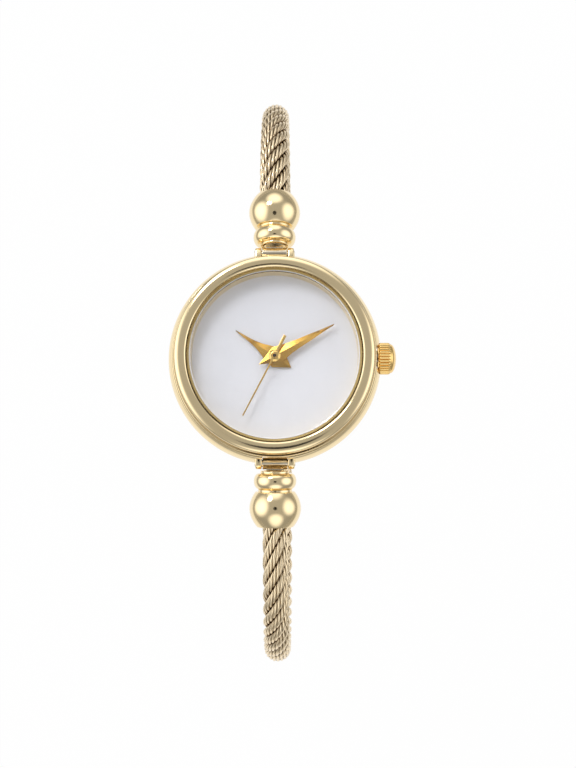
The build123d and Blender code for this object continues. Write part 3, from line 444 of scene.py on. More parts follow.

# The seconds wheel's steel arbor is painted near-black where it shows in the hub's bore: painted shade of
# the bore.
arbor_shade_r = 0.22
wheel_brass = (0.66, 0.47, 0.2)
arbor_painted_shade = (0.05, 0.03, 0.02)
seconds_brass = Finish("seconds_wheel_brass")
on_arbor = seconds_brass.from_axis() < arbor_shade_r * mm
seconds_brass.set(Metallic=1.0, Base_Color=seconds_brass.tint(on_arbor, wheel_brass, arbor_painted_shade))
seconds_brass.set(Roughness=0.3 + seconds_brass.noise(1800.0, 4.0) * 0.15)
dressed(seconds_brass.material, "fourth_wheel")

# The copper is darker in the grooves between the turns: painted shade.
copper_groove_shade = (0.5, 0.16, 0.06)
copper_turn = (0.86, 0.36, 0.17)
coil_copper = Finish("coil_copper")
windings = coil_copper.node(
    "ShaderNodeTexWave", {"bands_direction": "X"}, {"Vector": coil_copper.place, "Scale": 6000.0}
)
coil_copper.set(Metallic=1.0, Base_Color=coil_copper.tint(windings, copper_groove_shade, copper_turn))
coil_copper.set(Roughness=0.3, Normal=coil_copper.bump(windings, 0.6, 0.04 * mm))
dressed(coil_copper.material, "coil")

board_lacquer = (0.015, 0.13, 0.05)
board_track = (0.03, 0.22, 0.09)
board_green = Finish("board_green")
tracks = board_green.node(
    "ShaderNodeTexVoronoi", {"distance": "MANHATTAN"}, {"Vector": board_green.place, "Scale": 900.0}
)
board_green.set(Base_Color=board_green.tint(tracks, board_lacquer, board_track))
board_green.set(Roughness=0.35, Coat_Weight=0.4, Normal=board_green.bump(tracks, 0.2, 0.03 * mm))
dressed(board_green.material, "circuit_board")

chip_black = grained(
    "chip_black",
    ((0.012, 0.012, 0.013), (0.03, 0.03, 0.032)),
    (0.55, 0.15),
    (6000.0, 5.0),
    (0.2, 0.02 * mm),
)
dressed(chip_black, "ic_chip")

cell_steel = grained(
    "cell_steel",
    ((0.75, 0.75, 0.74), (0.6, 0.6, 0.6)),
    (0.18, 0.15),
    (2200.0, 4.0, (1.0, 1.0, 12.0)),
    (0.1, 0.02 * mm),
    Metallic=1.0,
)
dressed(cell_steel, "battery", "quartz_can")

# Movement ring: the moulded plastic spacer, pale and slightly matt, that centres the movement in
# the case.
ring_plastic = grained(
    "ring_plastic",
    ((0.62, 0.61, 0.58), (0.7, 0.69, 0.66)),
    (0.48, 0.12),
    (1500.0, 4.0),
    (0.12, 0.03 * mm),
)
dressed(ring_plastic, "movement_ring")

# Dial: a thin brass plate under smooth white lacquer, faintly cool, with no marks at all. Two feet
# under it hold it on the movement.
dial_white = grained(
    "dial_white",
    ((0.8, 0.815, 0.88), (0.82, 0.835, 0.9)),
    (0.42, 0.06),
    (700.0, 3.0),
    (0.05, 0.02 * mm),
    Coat_Weight=0.25,
    Coat_Roughness=0.12,
)
dressed(dial_white, "dial")

# Hour and minute hands: stamped gold-plated darts, each with a ridge along its middle so that
# one half catches the light and the other stays darker. They are pressed on their tubes.
hand_low = 0.045
hand_tall = 0.28
hand_crease = 12.0
hour_hand_start = 4.55
hour_hand_angle = 304.3
hour_flank = [(1.2, -0.45), (1.08, 0.1), (0.92, 0.8), (0.75, 1.3), (0.6, 1.7), (0.41, 2.3), (0.29, 2.9)]
hour_flank += [(0.2, 3.5), (0.12, 4.5), (0.05, 5.5)]
hour_tail = 2.35
minute_hand_start = 4.95
minute_hand_angle = 61.9
minute_flank = [(1.05, 0.3), (0.95, 0.75), (0.85, 1.2), (0.66, 2.0), (0.54, 3.0), (0.34, 5.0), (0.22, 6.0)]
minute_flank += [(0.13, 7.0), (0.06, 7.9)]
minute_tail = 2.1
hand_grain = (3000.0, 3.0, (1.0, 1.0, 6.0))
hand_relief = (0.05, 0.01 * mm)


def clockwise(across, along, angle):
    """A spot on a hand as (x, z), with the hand's angle in degrees from 12 o'clock."""
    turn = math.radians(angle)
    x = across * math.cos(turn) + along * math.sin(turn)
    z = along * math.cos(turn) - across * math.sin(turn)
    return (x, z)


def dart(name, flank, tail, start, angle):
    """A two-sided dart: a ridge down the middle, thin edges and a flat back."""
    form = bmesh.new()

    def row(spots, height):
        """The points of one long line of the dart."""
        placed = [clockwise(across, along, angle) for across, along in spots]
        return [form.verts.new(Vector((x, -height, z)) * mm) for x, z in placed]

    outline = [(0.0, -tail)] + flank
    middle = [(0.0, along) for across, along in outline]
    sides = []
    for side in (1, -1):
        edge = [(side * across, along) for across, along in outline]
        sides.append((row(edge, start + hand_low), row(edge, start)))
    ridge = sides[0][0][:1] + row(middle[1:-1], start + hand_tall) + row(middle[-1:], start + hand_low)
    spine = row(middle, start)
    for top, low in sides:
        form.faces.new((top[0], top[1], ridge[1]))
        form.faces.new((spine[0], spine[1], low[1]))
        strip(form, top[1:], ridge[1:])
        strip(form, low, top)
        strip(form, spine[1:], low[1:])
        form.faces.new((top[-1], low[-1], spine[-1], ridge[-1]))
    bmesh.ops.remove_doubles(form, verts=form.verts, dist=0.0005 * mm)
    return smoothed(piece_from(outward(form), name), hand_crease)


hand_gold = grained(
    "hand_gold",
    ((0.8, 0.49, 0.11), (0.7, 0.39, 0.07)),
    (0.17, 0.08),
    hand_grain,
    hand_relief,
    Metallic=1.0,
)
hour_hand = dart("hour_hand_dart", hour_flank, hour_tail, hour_hand_start, hour_hand_angle)
fitted(hour_hand, hand_gold, "hour_set", "hand_gold", "hour_hand")
minute_hand = dart("minute_hand_dart", minute_flank, minute_tail, minute_hand_start, minute_hand_angle)
fitted(minute_hand, hand_gold, "minute_set", "hand_gold", "minute_hand")

# Seconds hand: a straight gold needle with a slightly wider tail, riveted in a small domed hub
# that is pressed on the long arbor of the seconds wheel.
needle_start = 5.3
needle_angle = 207.7
needle_half = 0.11
needle_tip_half = 0.088
needle_length = 8.0
needle_tail_half = 0.17
needle_tail = 2.7
needle_taper_start = -0.3
needle_taper_end = 0.4
needle_thickness = 0.12
needle_edge = 0.03
hub_r = 0.7
hub_thickness = 0.25
hub_edge = 0.07
hub_slope = 0.38
hub_steps = 9
hub_bore_r = 0.2
hub_bore_edge = 0.03
needle_side = [(needle_tail_half, -needle_tail), (needle_tail_half, needle_taper_start)]
needle_side += [(needle_half, needle_taper_end), (needle_tip_half, needle_length)]
needle_outline = needle_side + [(-across, along) for across, along in reversed(needle_side)]
needle_spots = [clockwise(across, along, needle_angle) for across, along in needle_outline]
needle = slab("needle", needle_spots, "y", -needle_start - needle_thickness, -needle_start)
hub_top = needle_start + hub_thickness
hub_outline = [(hub_bore_r, needle_start), (hub_r, needle_start)]
for step in range(hub_steps + 1):
    swell = math.sin(math.pi / 2 * step / hub_steps)
    height = needle_start + hub_edge + (hub_thickness - hub_edge) * swell
    hub_outline.append((hub_r - hub_slope * step / hub_steps, height))
hub_outline += [(hub_bore_r + hub_bore_edge, hub_top), (hub_bore_r, hub_top - hub_bore_edge)]
hub = turned("hub", hub_outline, steps=64)
seconds_hand = smoothed(merged("seconds_hand_needle", [bevelled(needle, needle_edge, segments=2), hub]))
needle_gold = grained(
    "needle_gold",
    ((0.88, 0.62, 0.22), (0.78, 0.5, 0.14)),
    (0.15, 0.08),
    hand_grain,
    hand_relief,
    Metallic=1.0,
)
fitted(seconds_hand, needle_gold, "seconds_set", "hand_gold", "seconds_hand")

# Bezel: a gold-plated ring with a broad, low polished dome, a narrow ledge outside it and a fine
# groove between the two. It is pressed on the case and its inner slope runs down to the dial.
dial_face = 4.3
crystal_seat = 5.9
bezel_r = 11.97
bezel_ledge = 5.25
bezel_dome_r = 11.75
bezel_crest_r = 10.9
bezel_dome_inner_r = 10.4
bezel_bore_r = 10.25
bezel_top = 6.95
bezel_outer_swell = 0.4
bezel_inner_swell = 0.2
bezel_chamfer = 0.15
bezel_inner_edge = 0.04
bezel_foot_edge = 0.05
bezel_ledge_edge = 0.13
rehaut_foot_r = 9.65
rehaut_top_r = 9.85
groove = 0.1
outer_spot = (bezel_crest_r, bezel_top - bezel_outer_swell)
inner_spot = (bezel_crest_r, bezel_top - bezel_inner_swell)
outer_dome = arc_points(outer_spot, bezel_dome_r - bezel_crest_r, bezel_outer_swell, 0, 90, steps=20)
inner_dome = arc_points(inner_spot, bezel_crest_r - bezel_dome_inner_r, bezel_inner_swell, 90, 180, steps=16)
bore_corner = (bezel_bore_r, bezel_top - bezel_inner_swell - bezel_chamfer)
glass_corner = (bezel_bore_r, crystal_seat)
rehaut_foot = (rehaut_foot_r, dial_face)
under_start = (bezel_r - bezel_chamfer, bezel_seat)
under_end = (bezel_r, bezel_seat + bezel_chamfer)
ledge_corner = (bezel_r, bezel_ledge)
groove_outer = (bezel_dome_r + groove, bezel_ledge)
groove_floor = (bezel_dome_r + groove, bezel_ledge - groove)
bezel_outline = outer_dome + inner_dome[1:-1]
bezel_outline += fillet(inner_dome[-1], inner_dome[-2], bore_corner, bezel_inner_edge)
bezel_outline += fillet(bore_corner, inner_dome[-1], glass_corner, bezel_inner_edge) + [glass_corner]
bezel_outline += fillet((rehaut_top_r, crystal_seat), glass_corner, rehaut_foot, bezel_foot_edge)
bezel_outline += [rehaut_foot, (case_bore_r, dial_face), seat_corner]
bezel_outline += fillet(under_start, seat_corner, under_end, bezel_foot_edge)
bezel_outline += fillet(ledge_corner, under_end, (bezel_dome_r, bezel_ledge), bezel_ledge_edge)
bezel_outline += fillet(groove_outer, ledge_corner, groove_floor, bezel_foot_edge)
bezel_outline += [groove_floor, (bezel_dome_r, bezel_ledge - groove)]
bezel = smoothed(turned("bezel_ring", bezel_outline, steps=360))
fitted(bezel, polished.material, "head", "polished_gold", "bezel")

# Crystal: flat mineral glass with a polished bevel, pressed into a thin ring of amber nylon.
# Light passes it on its way to the dial, so that the dial is as bright as in the air.
crystal_r = 10.0
crystal_top = 6.8
crystal_bevel = 0.15
crystal_edge = 0.05
crystal_crease = 20.0
glass = Finish("crystal_glass")
smear = glass.noise(300.0, 2.0)
glass.set(Base_Color=(1, 1, 1), Roughness=0.0, IOR=1.5, Transmission_Weight=1.0)
glass.set(Normal=glass.bump(smear, 0.01, 0.01 * mm))
shadow_ray = glass.node("ShaderNodeLightPath", {}, {}, "Is Shadow Ray")
glass.overlaid(shadow_ray, glass.node("ShaderNodeBsdfTransparent", {}, {}))
crystal_foot = (crystal_r, crystal_seat)
crystal_outline = [(0, crystal_seat)]
crystal_outline += fillet(crystal_foot, (0, crystal_seat), (crystal_r, crystal_top), crystal_edge, steps=3)
crystal_outline += [(crystal_r, crystal_top - crystal_bevel), (crystal_r - crystal_bevel, crystal_top)]
crystal_outline += [(0, crystal_top)]
crystal = smoothed(turned("crystal_disc", crystal_outline, steps=240), crystal_crease)
fitted(crystal, glass.material, "head", "crystal_glass", "crystal")

nylon = grained("clear_nylon", ((0.6, 0.46, 0.2), (0.5, 0.37, 0.15)), (0.25, 0.1), (1200.0, 3.0))
dressed(nylon, "crystal_gasket")

# Case back: a plated steel lid, pressed in against a flat rubber ring. Its rim is polished, its
# flat is brushed in circles, and a small notch in its edge takes the opening knife.
back_brushed_r = 9.1
back_groove_width = 0.2
back_groove_depth = 0.05
back_groove_slope = 0.06
back_flat_r = 9.6
back_flange_r = 11.0
back_flange = 0.5
back_flange_edge = 0.15
back_rim_r = 10.0
back_rim_wall = 0.5
back_rim_height = 1.3
back_snap_r = 10.3
back_snap_low = 1.0
back_snap_height = 1.15
back_thickness = 0.8
back_edge = 0.03
knife_half = 1.1
knife_inner_z = 10.75
knife_outer_z = 11.5
knife_low = 0.12
knife_high = 0.42


def softened(outline, radius):
    """A closed outline of (radius, along) points with every corner off the axis rounded."""
    points = []
    for index, corner in enumerate(outline):
        if corner[0] == 0:
            points.append(corner)
        else:
            after = outline[(index + 1) % len(outline)]
            points += fillet(corner, outline[index - 1], after, radius)
    return points


back_gold = Finish("case_back_gold")
from_middle = back_gold.from_axis()
circles = back_gold.node(
    "ShaderNodeTexNoise", {"noise_dimensions": "1D"}, {"W": from_middle, "Scale": 26000.0, "Detail": 4.0}
)
on_flat = from_middle < back_brushed_r * mm
back_gold.set(Metallic=1.0, Base_Color=back_gold.tint(circles, champagne, champagne_deep))
back_gold.set(Roughness=0.07 + on_flat * (0.12 + circles * 0.2))
back_gold.set(Normal=back_gold.bump(circles * on_flat, 0.25, 0.01 * mm))
back_corners = [
    (0, 0),
    (back_brushed_r, 0),
    (back_brushed_r + back_groove_slope, back_groove_depth),
    (back_brushed_r + back_groove_width - back_groove_slope, back_groove_depth),
    (back_brushed_r + back_groove_width, 0),
    (back_flat_r, 0),
    (back_flange_r, back_flange - back_flange_edge),
    (back_flange_r, back_flange),
    (back_rim_r, back_flange),
    (back_rim_r, back_snap_low),
    (back_snap_r, back_snap_height),
    (back_rim_r, back_rim_height),
    (back_rim_r - back_rim_wall, back_rim_height),
    (back_rim_r - back_rim_wall, back_thickness),
    (0, back_thickness),
]
case_back = turned("case_back_lid", softened(back_corners, back_edge))
knife_notch = oblong(-knife_half, knife_half, -knife_inner_z, -knife_outer_z)
cut(case_back, slab("knife_notch", knife_notch, "y", -knife_high, -knife_low))
fitted(smoothed(case_back), back_gold.material, "head", "polished_gold", "case_back")

black_rubber = grained(
    "black_rubber",
    ((0.012, 0.012, 0.012), (0.03, 0.03, 0.03)),
    (0.6, 0.15),
    (4000.0, 4.0),
    (0.2, 0.02 * mm),
)
dressed(black_rubber, "case_back_gasket", "crown_gasket")

# Crown: turned, then fluted all round its band for grip, domed on its end and plated in a richer
# gold. It is hollow over the case tube and screwed on the stem.
crown_r = 1.87
crown_flutes = 30
flute_steps = 12
flute_depth = 0.2
flute_ridge = 0.6
crown_dome_x = 13.6
crown_dome_r = 1.72
crown_dome_rise = 0.7
crown_crease = 40.0
crown_gold = grained(
    "crown_gold",
    ((0.95, 0.68, 0.29), (0.88, 0.58, 0.2)),
    (0.11, 0.06),
    (2400.0, 3.0),
    (0.05, 0.01 * mm),
    Metallic=1.0,
)

# The crown's outline has points of a radius, a spot along the stem and a share of the flutes' depth.
crown_steps = crown_flutes * flute_steps
crown_hollow = [(0, 13.0, 0), (1.35, 13.0, 0), (1.35, 12.12, 0)]
crown_foot = [(1.4, 12.08, 0), (1.6, 12.08, 0), (1.66, 12.12, 0), (1.66, 12.22, 0), (1.7, 12.25, 0)]
crown_band = [(1.78, 12.27, 0.3), (1.84, 12.33, 0.8), (crown_r, 12.42, 1), (crown_r, 12.7, 1)]
crown_band += [(crown_r, 13.0, 1), (crown_r, 13.3, 1), (1.85, 13.42, 0.9), (1.81, 13.5, 0.6)]
crown_band += [(1.77, 13.55, 0.25), (crown_dome_r, crown_dome_x, 0)]
crown_dome = []
for degrees in range(8, 90, 8):
    dome_angle = math.radians(degrees)
    dome_x = crown_dome_x + crown_dome_rise * math.sin(dome_angle)
    crown_dome.append((crown_dome_r * math.cos(dome_angle), dome_x, 0))
crown_dome.append((0, crown_dome_x + crown_dome_rise, 0))
crown_outline = crown_hollow + crown_foot + crown_band + crown_dome
crown_form = bmesh.new()
crown_rings = []
for step in range(crown_steps):
    crown_angle = 2 * math.pi * step / crown_steps
    hollow = flute_depth * (1 - abs(math.sin(crown_angle * crown_flutes / 2)) ** flute_ridge)
    ring = []
    for r, x, fluted in crown_outline:
        y = (r - hollow * fluted) * math.cos(crown_angle) - crown_height
        z = (r - hollow * fluted) * math.sin(crown_angle)
        ring.append(crown_form.verts.new(Vector((x, y, z)) * mm))
    crown_rings.append(ring)
for step in range(crown_steps):
    strip(crown_form, crown_rings[step], crown_rings[(step + 1) % crown_steps])
bmesh.ops.remove_doubles(crown_form, verts=crown_form.verts, dist=0.001 * mm)
crown = smoothed(piece_from(outward(crown_form), "crown_fluted"), crown_crease)
fitted(crown, crown_gold, "crown_set", "crown_gold", "crown")

# Pins: two plain steel pins through the ears, their domed ends just proud of the ears. The
# bangle turns on the one at 12 o'clock and hooks over the one at 6 o'clock.
pin_r = 0.4
pin_proud = 0.1
pin_half = ear_gap / 2 + ear_thickness + pin_proud
pin_dome = [(0, 0), (0.25, 0.015), (0.36, 0.05), (pin_r, 0.12)]
warm_steel = grained(
    "warm_steel",
    ((0.88, 0.8, 0.64), (0.7, 0.6, 0.45)),
    (0.12, 0.14),
    drawn_grain,
    drawn_relief,
    Metallic=1.0,
)
pin_outline = [(r, -pin_half + inward) for r, inward in pin_dome]
pin_outline += [(r, pin_half - inward) for r, inward in reversed(pin_dome)]
for node, end in (("hinge_pin", 1), ("clasp_bar", -1)):
    pin = turned(node + "_rod", pin_outline, (0, -pin_height, end * pin_reach), (1, 0, 0), steps=48)
    fitted(smoothed(pin), warm_steel, "head", "steel", node)

# Knuckles: drawn steel tube on the pins, each with a flat tang that is soldered into its link.
# The one at 6 o'clock is open towards the dial, so that it clicks over its bar.
end_lean = math.radians(12.0)
knuckle_r = 0.7
knuckle_bore_r = 0.45
knuckle_half = 1.45
knuckle_edge = 0.05
tang_start = 0.5
tang_end = 1.7
tang_half = 0.35
tang_width_half = 1.0


def leaning(along, across=0.0):
    """The (y, z) spot so far from the upper pin along the bangle's leaning end, and so far across it."""
    y = along * math.sin(end_lean) + across * math.cos(end_lean) - pin_height
    z = along * math.cos(end_lean) - across * math.sin(end_lean) + pin_reach
    return (y, z)


knuckle_outline = softened(oblong(knuckle_bore_r, knuckle_r, -knuckle_half, knuckle_half), knuckle_edge)
knuckle_spot = (0, -pin_height, pin_reach)
knuckle_tube = turned("upper_knuckle_tube", knuckle_outline, knuckle_spot, (1, 0, 0), steps=64)
tang_corners = oblong(tang_half, -tang_half, tang_start, tang_end)
tang_outline = [leaning(along, across) for across, along in tang_corners]
tang = slab("upper_tang", tang_outline, "x", -tang_width_half, tang_width_half)
tang = bevelled(tang, knuckle_edge, segments=2)
upper_knuckle = smoothed(merged("upper_knuckle_tube", [knuckle_tube, tang]))
fitted(upper_knuckle, warm_steel, "bangle", "steel", "upper_knuckle")
dressed(warm_steel, "lower_hook")

# Links and ferrules: on each end of the cable a turned bead with a thin flange, its spigot
# soldered into a barrel. Both are polished and plated, and the cable is fixed in the barrel.
flange_start = 0.85
flange_end = 1.15
flange_r = 1.7
flange_near_edge = 0.1
flange_far_edge = 0.08
dish_r = 1.2
dish_rim_r = 1.25
dish_depth = 0.1
dish_edge = 0.03
neck_r = 1.55
bead_waist_r = 1.9
bead_r = 2.5
bead_end = 3.0
spigot_r = 1.5
spigot_end = 3.05
collar_r = 2.0
collar_end = 3.3
collar_edge = 0.1
collar_foot = 0.04
ferrule_near_r = 2.3
ferrule_r = 3.03
ferrule_far_r = 2.15
ferrule_end = 7.45
ferrule_edge = 0.12
cable_socket_end = 4.3
cable_mouth_r = 1.72
cable_mouth_edge = 0.06


def bulge(near, widest, far, steps):
    """Points on the curve through three (radius, along) points."""
    (r1, s1), (r2, s2), (r3, s3) = near, widest, far
    points = []
    for step in range(steps + 1):
        along = s1 + (s3 - s1) * step / steps
        first = (along - s2) * (along - s3) / ((s1 - s2) * (s1 - s3))
        second = (along - s1) * (along - s3) / ((s2 - s1) * (s2 - s3))
        third = (along - s1) * (along - s2) / ((s3 - s1) * (s3 - s2))
        points.append((r1 * first + r2 * second + r3 * third, along))
    return points


bead_middle = (bead_waist_r, (flange_end + bead_end) / 2)
bead = arc_points(bead_middle, bead_r - bead_waist_r, (bead_end - flange_end) / 2, -90, 90, steps=24)
dish_corner = (dish_r, flange_start + dish_depth)
dish_foot = (dish_r, flange_start)
flange_near = (flange_r, flange_start)
flange_far = (flange_r, flange_end)
link_outline = [(0, flange_start + dish_depth)]
link_outline += fillet(dish_corner, (0, flange_start + dish_depth), dish_foot, dish_edge, steps=2)
link_outline += fillet((dish_rim_r, flange_start), dish_corner, flange_near, dish_edge, steps=2)
link_outline += fillet(flange_near, dish_foot, flange_far, flange_near_edge)
link_outline += fillet(flange_far, flange_near, (spigot_r, flange_end), flange_far_edge)
link_outline += [(neck_r, flange_end)] + bead
link_outline += [(spigot_r, bead_end), (spigot_r, spigot_end), (0, spigot_end)]

collar_near = (collar_r, bead_end)
collar_far = (collar_r, collar_end)
mouth_corner = (cable_mouth_r, ferrule_end)
socket_corner = (cable_mouth_r, cable_socket_end)
barrel_middle = (ferrule_r, (collar_end + ferrule_end) / 2)
barrel = bulge((ferrule_near_r, collar_end), barrel_middle, (ferrule_far_r, ferrule_end), steps=36)
ferrule_outline = [(0, bead_end), (spigot_r, bead_end)]
ferrule_outline += fillet(collar_near, (spigot_r, bead_end), collar_far, collar_edge)
ferrule_outline += [(collar_r, collar_end - collar_foot)]
ferrule_outline += fillet(barrel[0], collar_far, barrel[2], ferrule_edge) + barrel[2:-2]
ferrule_outline += fillet(barrel[-1], barrel[-3], mouth_corner, ferrule_edge)
ferrule_outline += fillet(mouth_corner, barrel[-1], socket_corner, cable_mouth_edge)
ferrule_outline += [socket_corner, (0, cable_socket_end)]
for word, end in (("upper", 1), ("lower", -1)):
    pin_spot = (0, -pin_height, end * pin_reach)
    run = (0, math.sin(end_lean), end * math.cos(end_lean))
    link = smoothed(turned(word + "_link_bead", link_outline, pin_spot, run, steps=144))
    fitted(link, polished.material, "bangle", "polished_gold", word + "_link")
    ferrule = smoothed(turned(word + "_ferrule_barrel", ferrule_outline, pin_spot, run, steps=192))
    fitted(ferrule, polished.material, "bangle", "polished_gold", word + "_ferrule")

# Cable: six strands of fine gold-plated wire, laid right-handed round a core and bent to the
# wrist. Each strand is six wires round a core, and they turn the other way, so that they run
# almost along the cable.
bangle_half_height = 32.8
side_bend_r = 25.5
side_bend_deg = 55.0
bend_steps = 60
cable_straight = 0.35
cable_overlap = 0.1
cable_start_r = 1.82
cable_middle_r = 1.62
cable_end_r = 1.5
cable_taper = 0.2
mean_r = (cable_start_r + cable_middle_r) / 2
strands = 6
strand_share = 1 / 3
wires = 6
wire_share = strand_share * math.sin(math.pi / wires) / (1 + math.sin(math.pi / wires))
wire_twist = -3.4
wire_sides = 8
lay = 13.2
step_length = 0.27
strand_core_share = 0.185
cable_core_share = 0.36
core_sides = 10
cable_crease = 70.0
rope_gap = (0.7, 0.92)
strand_gap = (0.7, 0.97)
wire_bright = (0.97, 0.82, 0.58)
wire_deep = (0.9, 0.72, 0.46)
# The colour of the painted shade that darkens the wires towards their gaps.
wire_painted_shade = (0.1, 0.045, 0.015)

lean_deg = math.degrees(end_lean)
side_bend = math.radians(side_bend_deg)
exit_spot = leaning(ferrule_end + cable_straight)
end_bend_r = (bangle_half_height - exit_spot[1]) / (1 - math.sin(end_lean))
end_centre_y = exit_spot[0] + end_bend_r * math.cos(end_lean)
end_centre = (end_centre_y, exit_spot[1] - end_bend_r * math.sin(end_lean))
side_centre = (end_centre_y, bangle_half_height - side_bend_r)
back_bend_r = (bangle_half_height - side_bend_r * (1 - math.cos(side_bend))) / math.cos(side_bend)
back_centre = (end_centre_y + (side_bend_r - back_bend_r) * math.sin(side_bend), 0.0)
cable_line = [leaning(cable_socket_end + cable_overlap), exit_spot]
for bend_centre, bend_r, first, last in (
    (end_centre, end_bend_r, 180 - lean_deg, 90),
    (side_centre, side_bend_r, 90, 90 - side_bend_deg),
    (back_centre, back_bend_r, 90 - side_bend_deg, 0),
):
    cable_line += arc_points(bend_centre, bend_r, bend_r, first, last, bend_steps)[1:]
cable_line += [(y, -z) for y, z in reversed(cable_line[:-1])]

# The wires' gold drifts at random between two tones, and it is darkened towards the gaps between the strands
# and between the wires: painted shade, mixed in by the stored share.
wire_gold = Finish("wire_gold")
wire_drift = wire_gold.noise(900.0, 3.0)
unshaded_share = wire_gold.node("ShaderNodeAttribute", {"attribute_name": "unshaded_share"}, {}, "Fac")
unshaded_colour = wire_gold.tint(wire_drift, wire_bright, wire_deep)
wire_gold.set(Metallic=1.0, Base_Color=wire_gold.tint(unshaded_share, wire_painted_shade, unshaded_colour))
wire_gold.set(Roughness=0.16 + wire_drift * 0.1)
# The cores are painted dark brown: painted shade for the deep hollows that they lie in between the wires.
core_painted_shade = grained(
    "core_painted_shade",
    ((0.12, 0.06, 0.02), (0.06, 0.03, 0.01)),
    (0.45, 0.15),
    (1500.0, 3.0),
    Metallic=0.6,
)

rope_group = bpy.data.node_groups.new("rope_strand", "GeometryNodeTree")
rope_inputs = {"Line": "Geometry", "Wires": "Int", "Wire sides": "Int", "Finish": "Material"}
rope_sizes = ["Strand turn", "Strand place", "Wire place", "Wire size", "Wire twist", "Lay"]
rope_sizes += ["Start radius", "Middle radius", "End radius", "Step length"]
rope_inputs.update(dict.fromkeys(rope_sizes, "Float"))
for name, kind in rope_inputs.items():
    rope_group.interface.new_socket(name, in_out="INPUT", socket_type="NodeSocket" + kind)
rope_group.interface.new_socket("Rope", in_out="OUTPUT", socket_type="NodeSocketGeometry")
rope = Tree(rope_group)
given = rope.nodes.new("NodeGroupInput")
size = {name: Value(rope, given.outputs[name]) for name in rope_inputs}

# The tree cuts the cable's line into even steps and copies it once for each wire. A wire's spot
# follows from its strand's place round the cable and from its own place round the strand.
even_line = {"Curve": size["Line"], "Length": size["Step length"]}
even = rope.node("GeometryNodeResampleCurve", {"mode": "LENGTH"}, even_line)
wire_copies = {"Geometry": even, "Amount": size["Wires"]}
copies = rope.node("GeometryNodeDuplicateElements", {"domain": "SPLINE"}, wire_copies)
cable_run = rope.node("GeometryNodeSplineParameter", {}, {}, "Length")
cable_share = cable_run.other("Factor")
tangent = rope.node("GeometryNodeInputTangent", {}, {})
sideways = rope.node("ShaderNodeCombineXYZ", {}, {"X": 1.0})
square = rope.node("ShaderNodeVectorMath", {"operation": "CROSS_PRODUCT"}, {0: tangent, 1: sideways})
narrowing = (size["Middle radius"] - size["Start radius"]) * rope.eased(cable_share, 0.0, cable_taper)
ending = (size["End radius"] - size["Middle radius"]) * rope.eased(cable_share, 1 - cable_taper, 1.0)
cable_r = size["Start radius"] + narrowing + ending
full_turn = 2 * math.pi
strand_angle = (cable_run / size["Lay"] + size["Strand turn"]) * full_turn
strand_cos = strand_angle.through("COSINE")
strand_sin = strand_angle.through("SINE")
away = sideways * strand_cos + square * strand_sin
round_cable = square * strand_cos - sideways * strand_sin
strand_r = cable_r * size["Strand place"]
slope = (strand_r * full_turn / size["Lay"]).through("ARCTANGENT")
round_strand = round_cable * slope.through("COSINE") - tangent * slope.through("SINE")
wire_turn = copies.other("Duplicate Index") * full_turn / size["Wires"]
wire_angle = strand_angle * size["Wire twist"] + wire_turn
wire_r = cable_r * size["Wire place"]
wire_out = away * (wire_angle.through("COSINE") * wire_r)
wire_round = round_strand * (wire_angle.through("SINE") * wire_r)
offset = away * strand_r + wire_out + wire_round
position = rope.node("GeometryNodeInputPosition", {}, {})


def recalled(name, kind):
    """A value that was stored with the points under a name."""
    return rope.node("GeometryNodeInputNamedAttribute", {"data_type": kind}, {"Name": name}, "Attribute")


def noted(geometry, name, kind, value):
    """Stores a value with the points under a name."""
    settings = {"data_type": kind, "domain": "POINT"}
    inputs = {"Geometry": geometry, "Name": name, "Value": value}
    return rope.node("GeometryNodeStoreNamedAttribute", settings, inputs)


def crevice_unshaded(spot_name, radius, gap):
    """How far a wire's skin is from the painted shade of the gaps, from 0 in the gaps to 1 on the crests, by
    its distance from a spot.
    """
    distance = (position - recalled(spot_name, "FLOAT_VECTOR")).length()
    return rope.eased(distance / radius, *gap)


notes = (
    ("rope_spot", "FLOAT_VECTOR", position),
    ("strand_spot", "FLOAT_VECTOR", position + away * strand_r),
    ("rope_radius", "FLOAT", cable_r),
)
marked = copies
for name, kind, value in notes:
    marked = noted(marked, name, kind, value)
placed = rope.node("GeometryNodeSetPosition", {}, {"Geometry": marked, "Offset": offset})
loop_inputs = {"Resolution": size["Wire sides"], "Radius": size["Wire size"]}
loop = rope.node("GeometryNodeCurvePrimitiveCircle", {"mode": "RADIUS"}, loop_inputs)
tube = rope.node("GeometryNodeCurveToMesh", {}, {"Curve": placed, "Profile Curve": loop, "Fill Caps": True})
real = rope.node("GeometryNodeRealizeInstances", {}, {"Geometry": tube})
# Each point stores how far it is from the painted shade of the gaps, both round the cable and round its
# strand.
radius_here = recalled("rope_radius", "FLOAT")
rope_unshaded = crevice_unshaded("rope_spot", radius_here, rope_gap)
strand_unshaded = crevice_unshaded("strand_spot", radius_here * strand_share, strand_gap)
shown = noted(real, "unshaded_share", "FLOAT", rope_unshaded * strand_unshaded)
for name, kind, value in notes:
    shown = rope.node("GeometryNodeRemoveAttribute", {}, {"Geometry": shown, "Name": name})
coated = rope.node("GeometryNodeSetMaterial", {}, {"Geometry": shown, "Material": size["Finish"]})
rope.feed(rope.nodes.new("NodeGroupOutput").inputs["Rope"], coated)


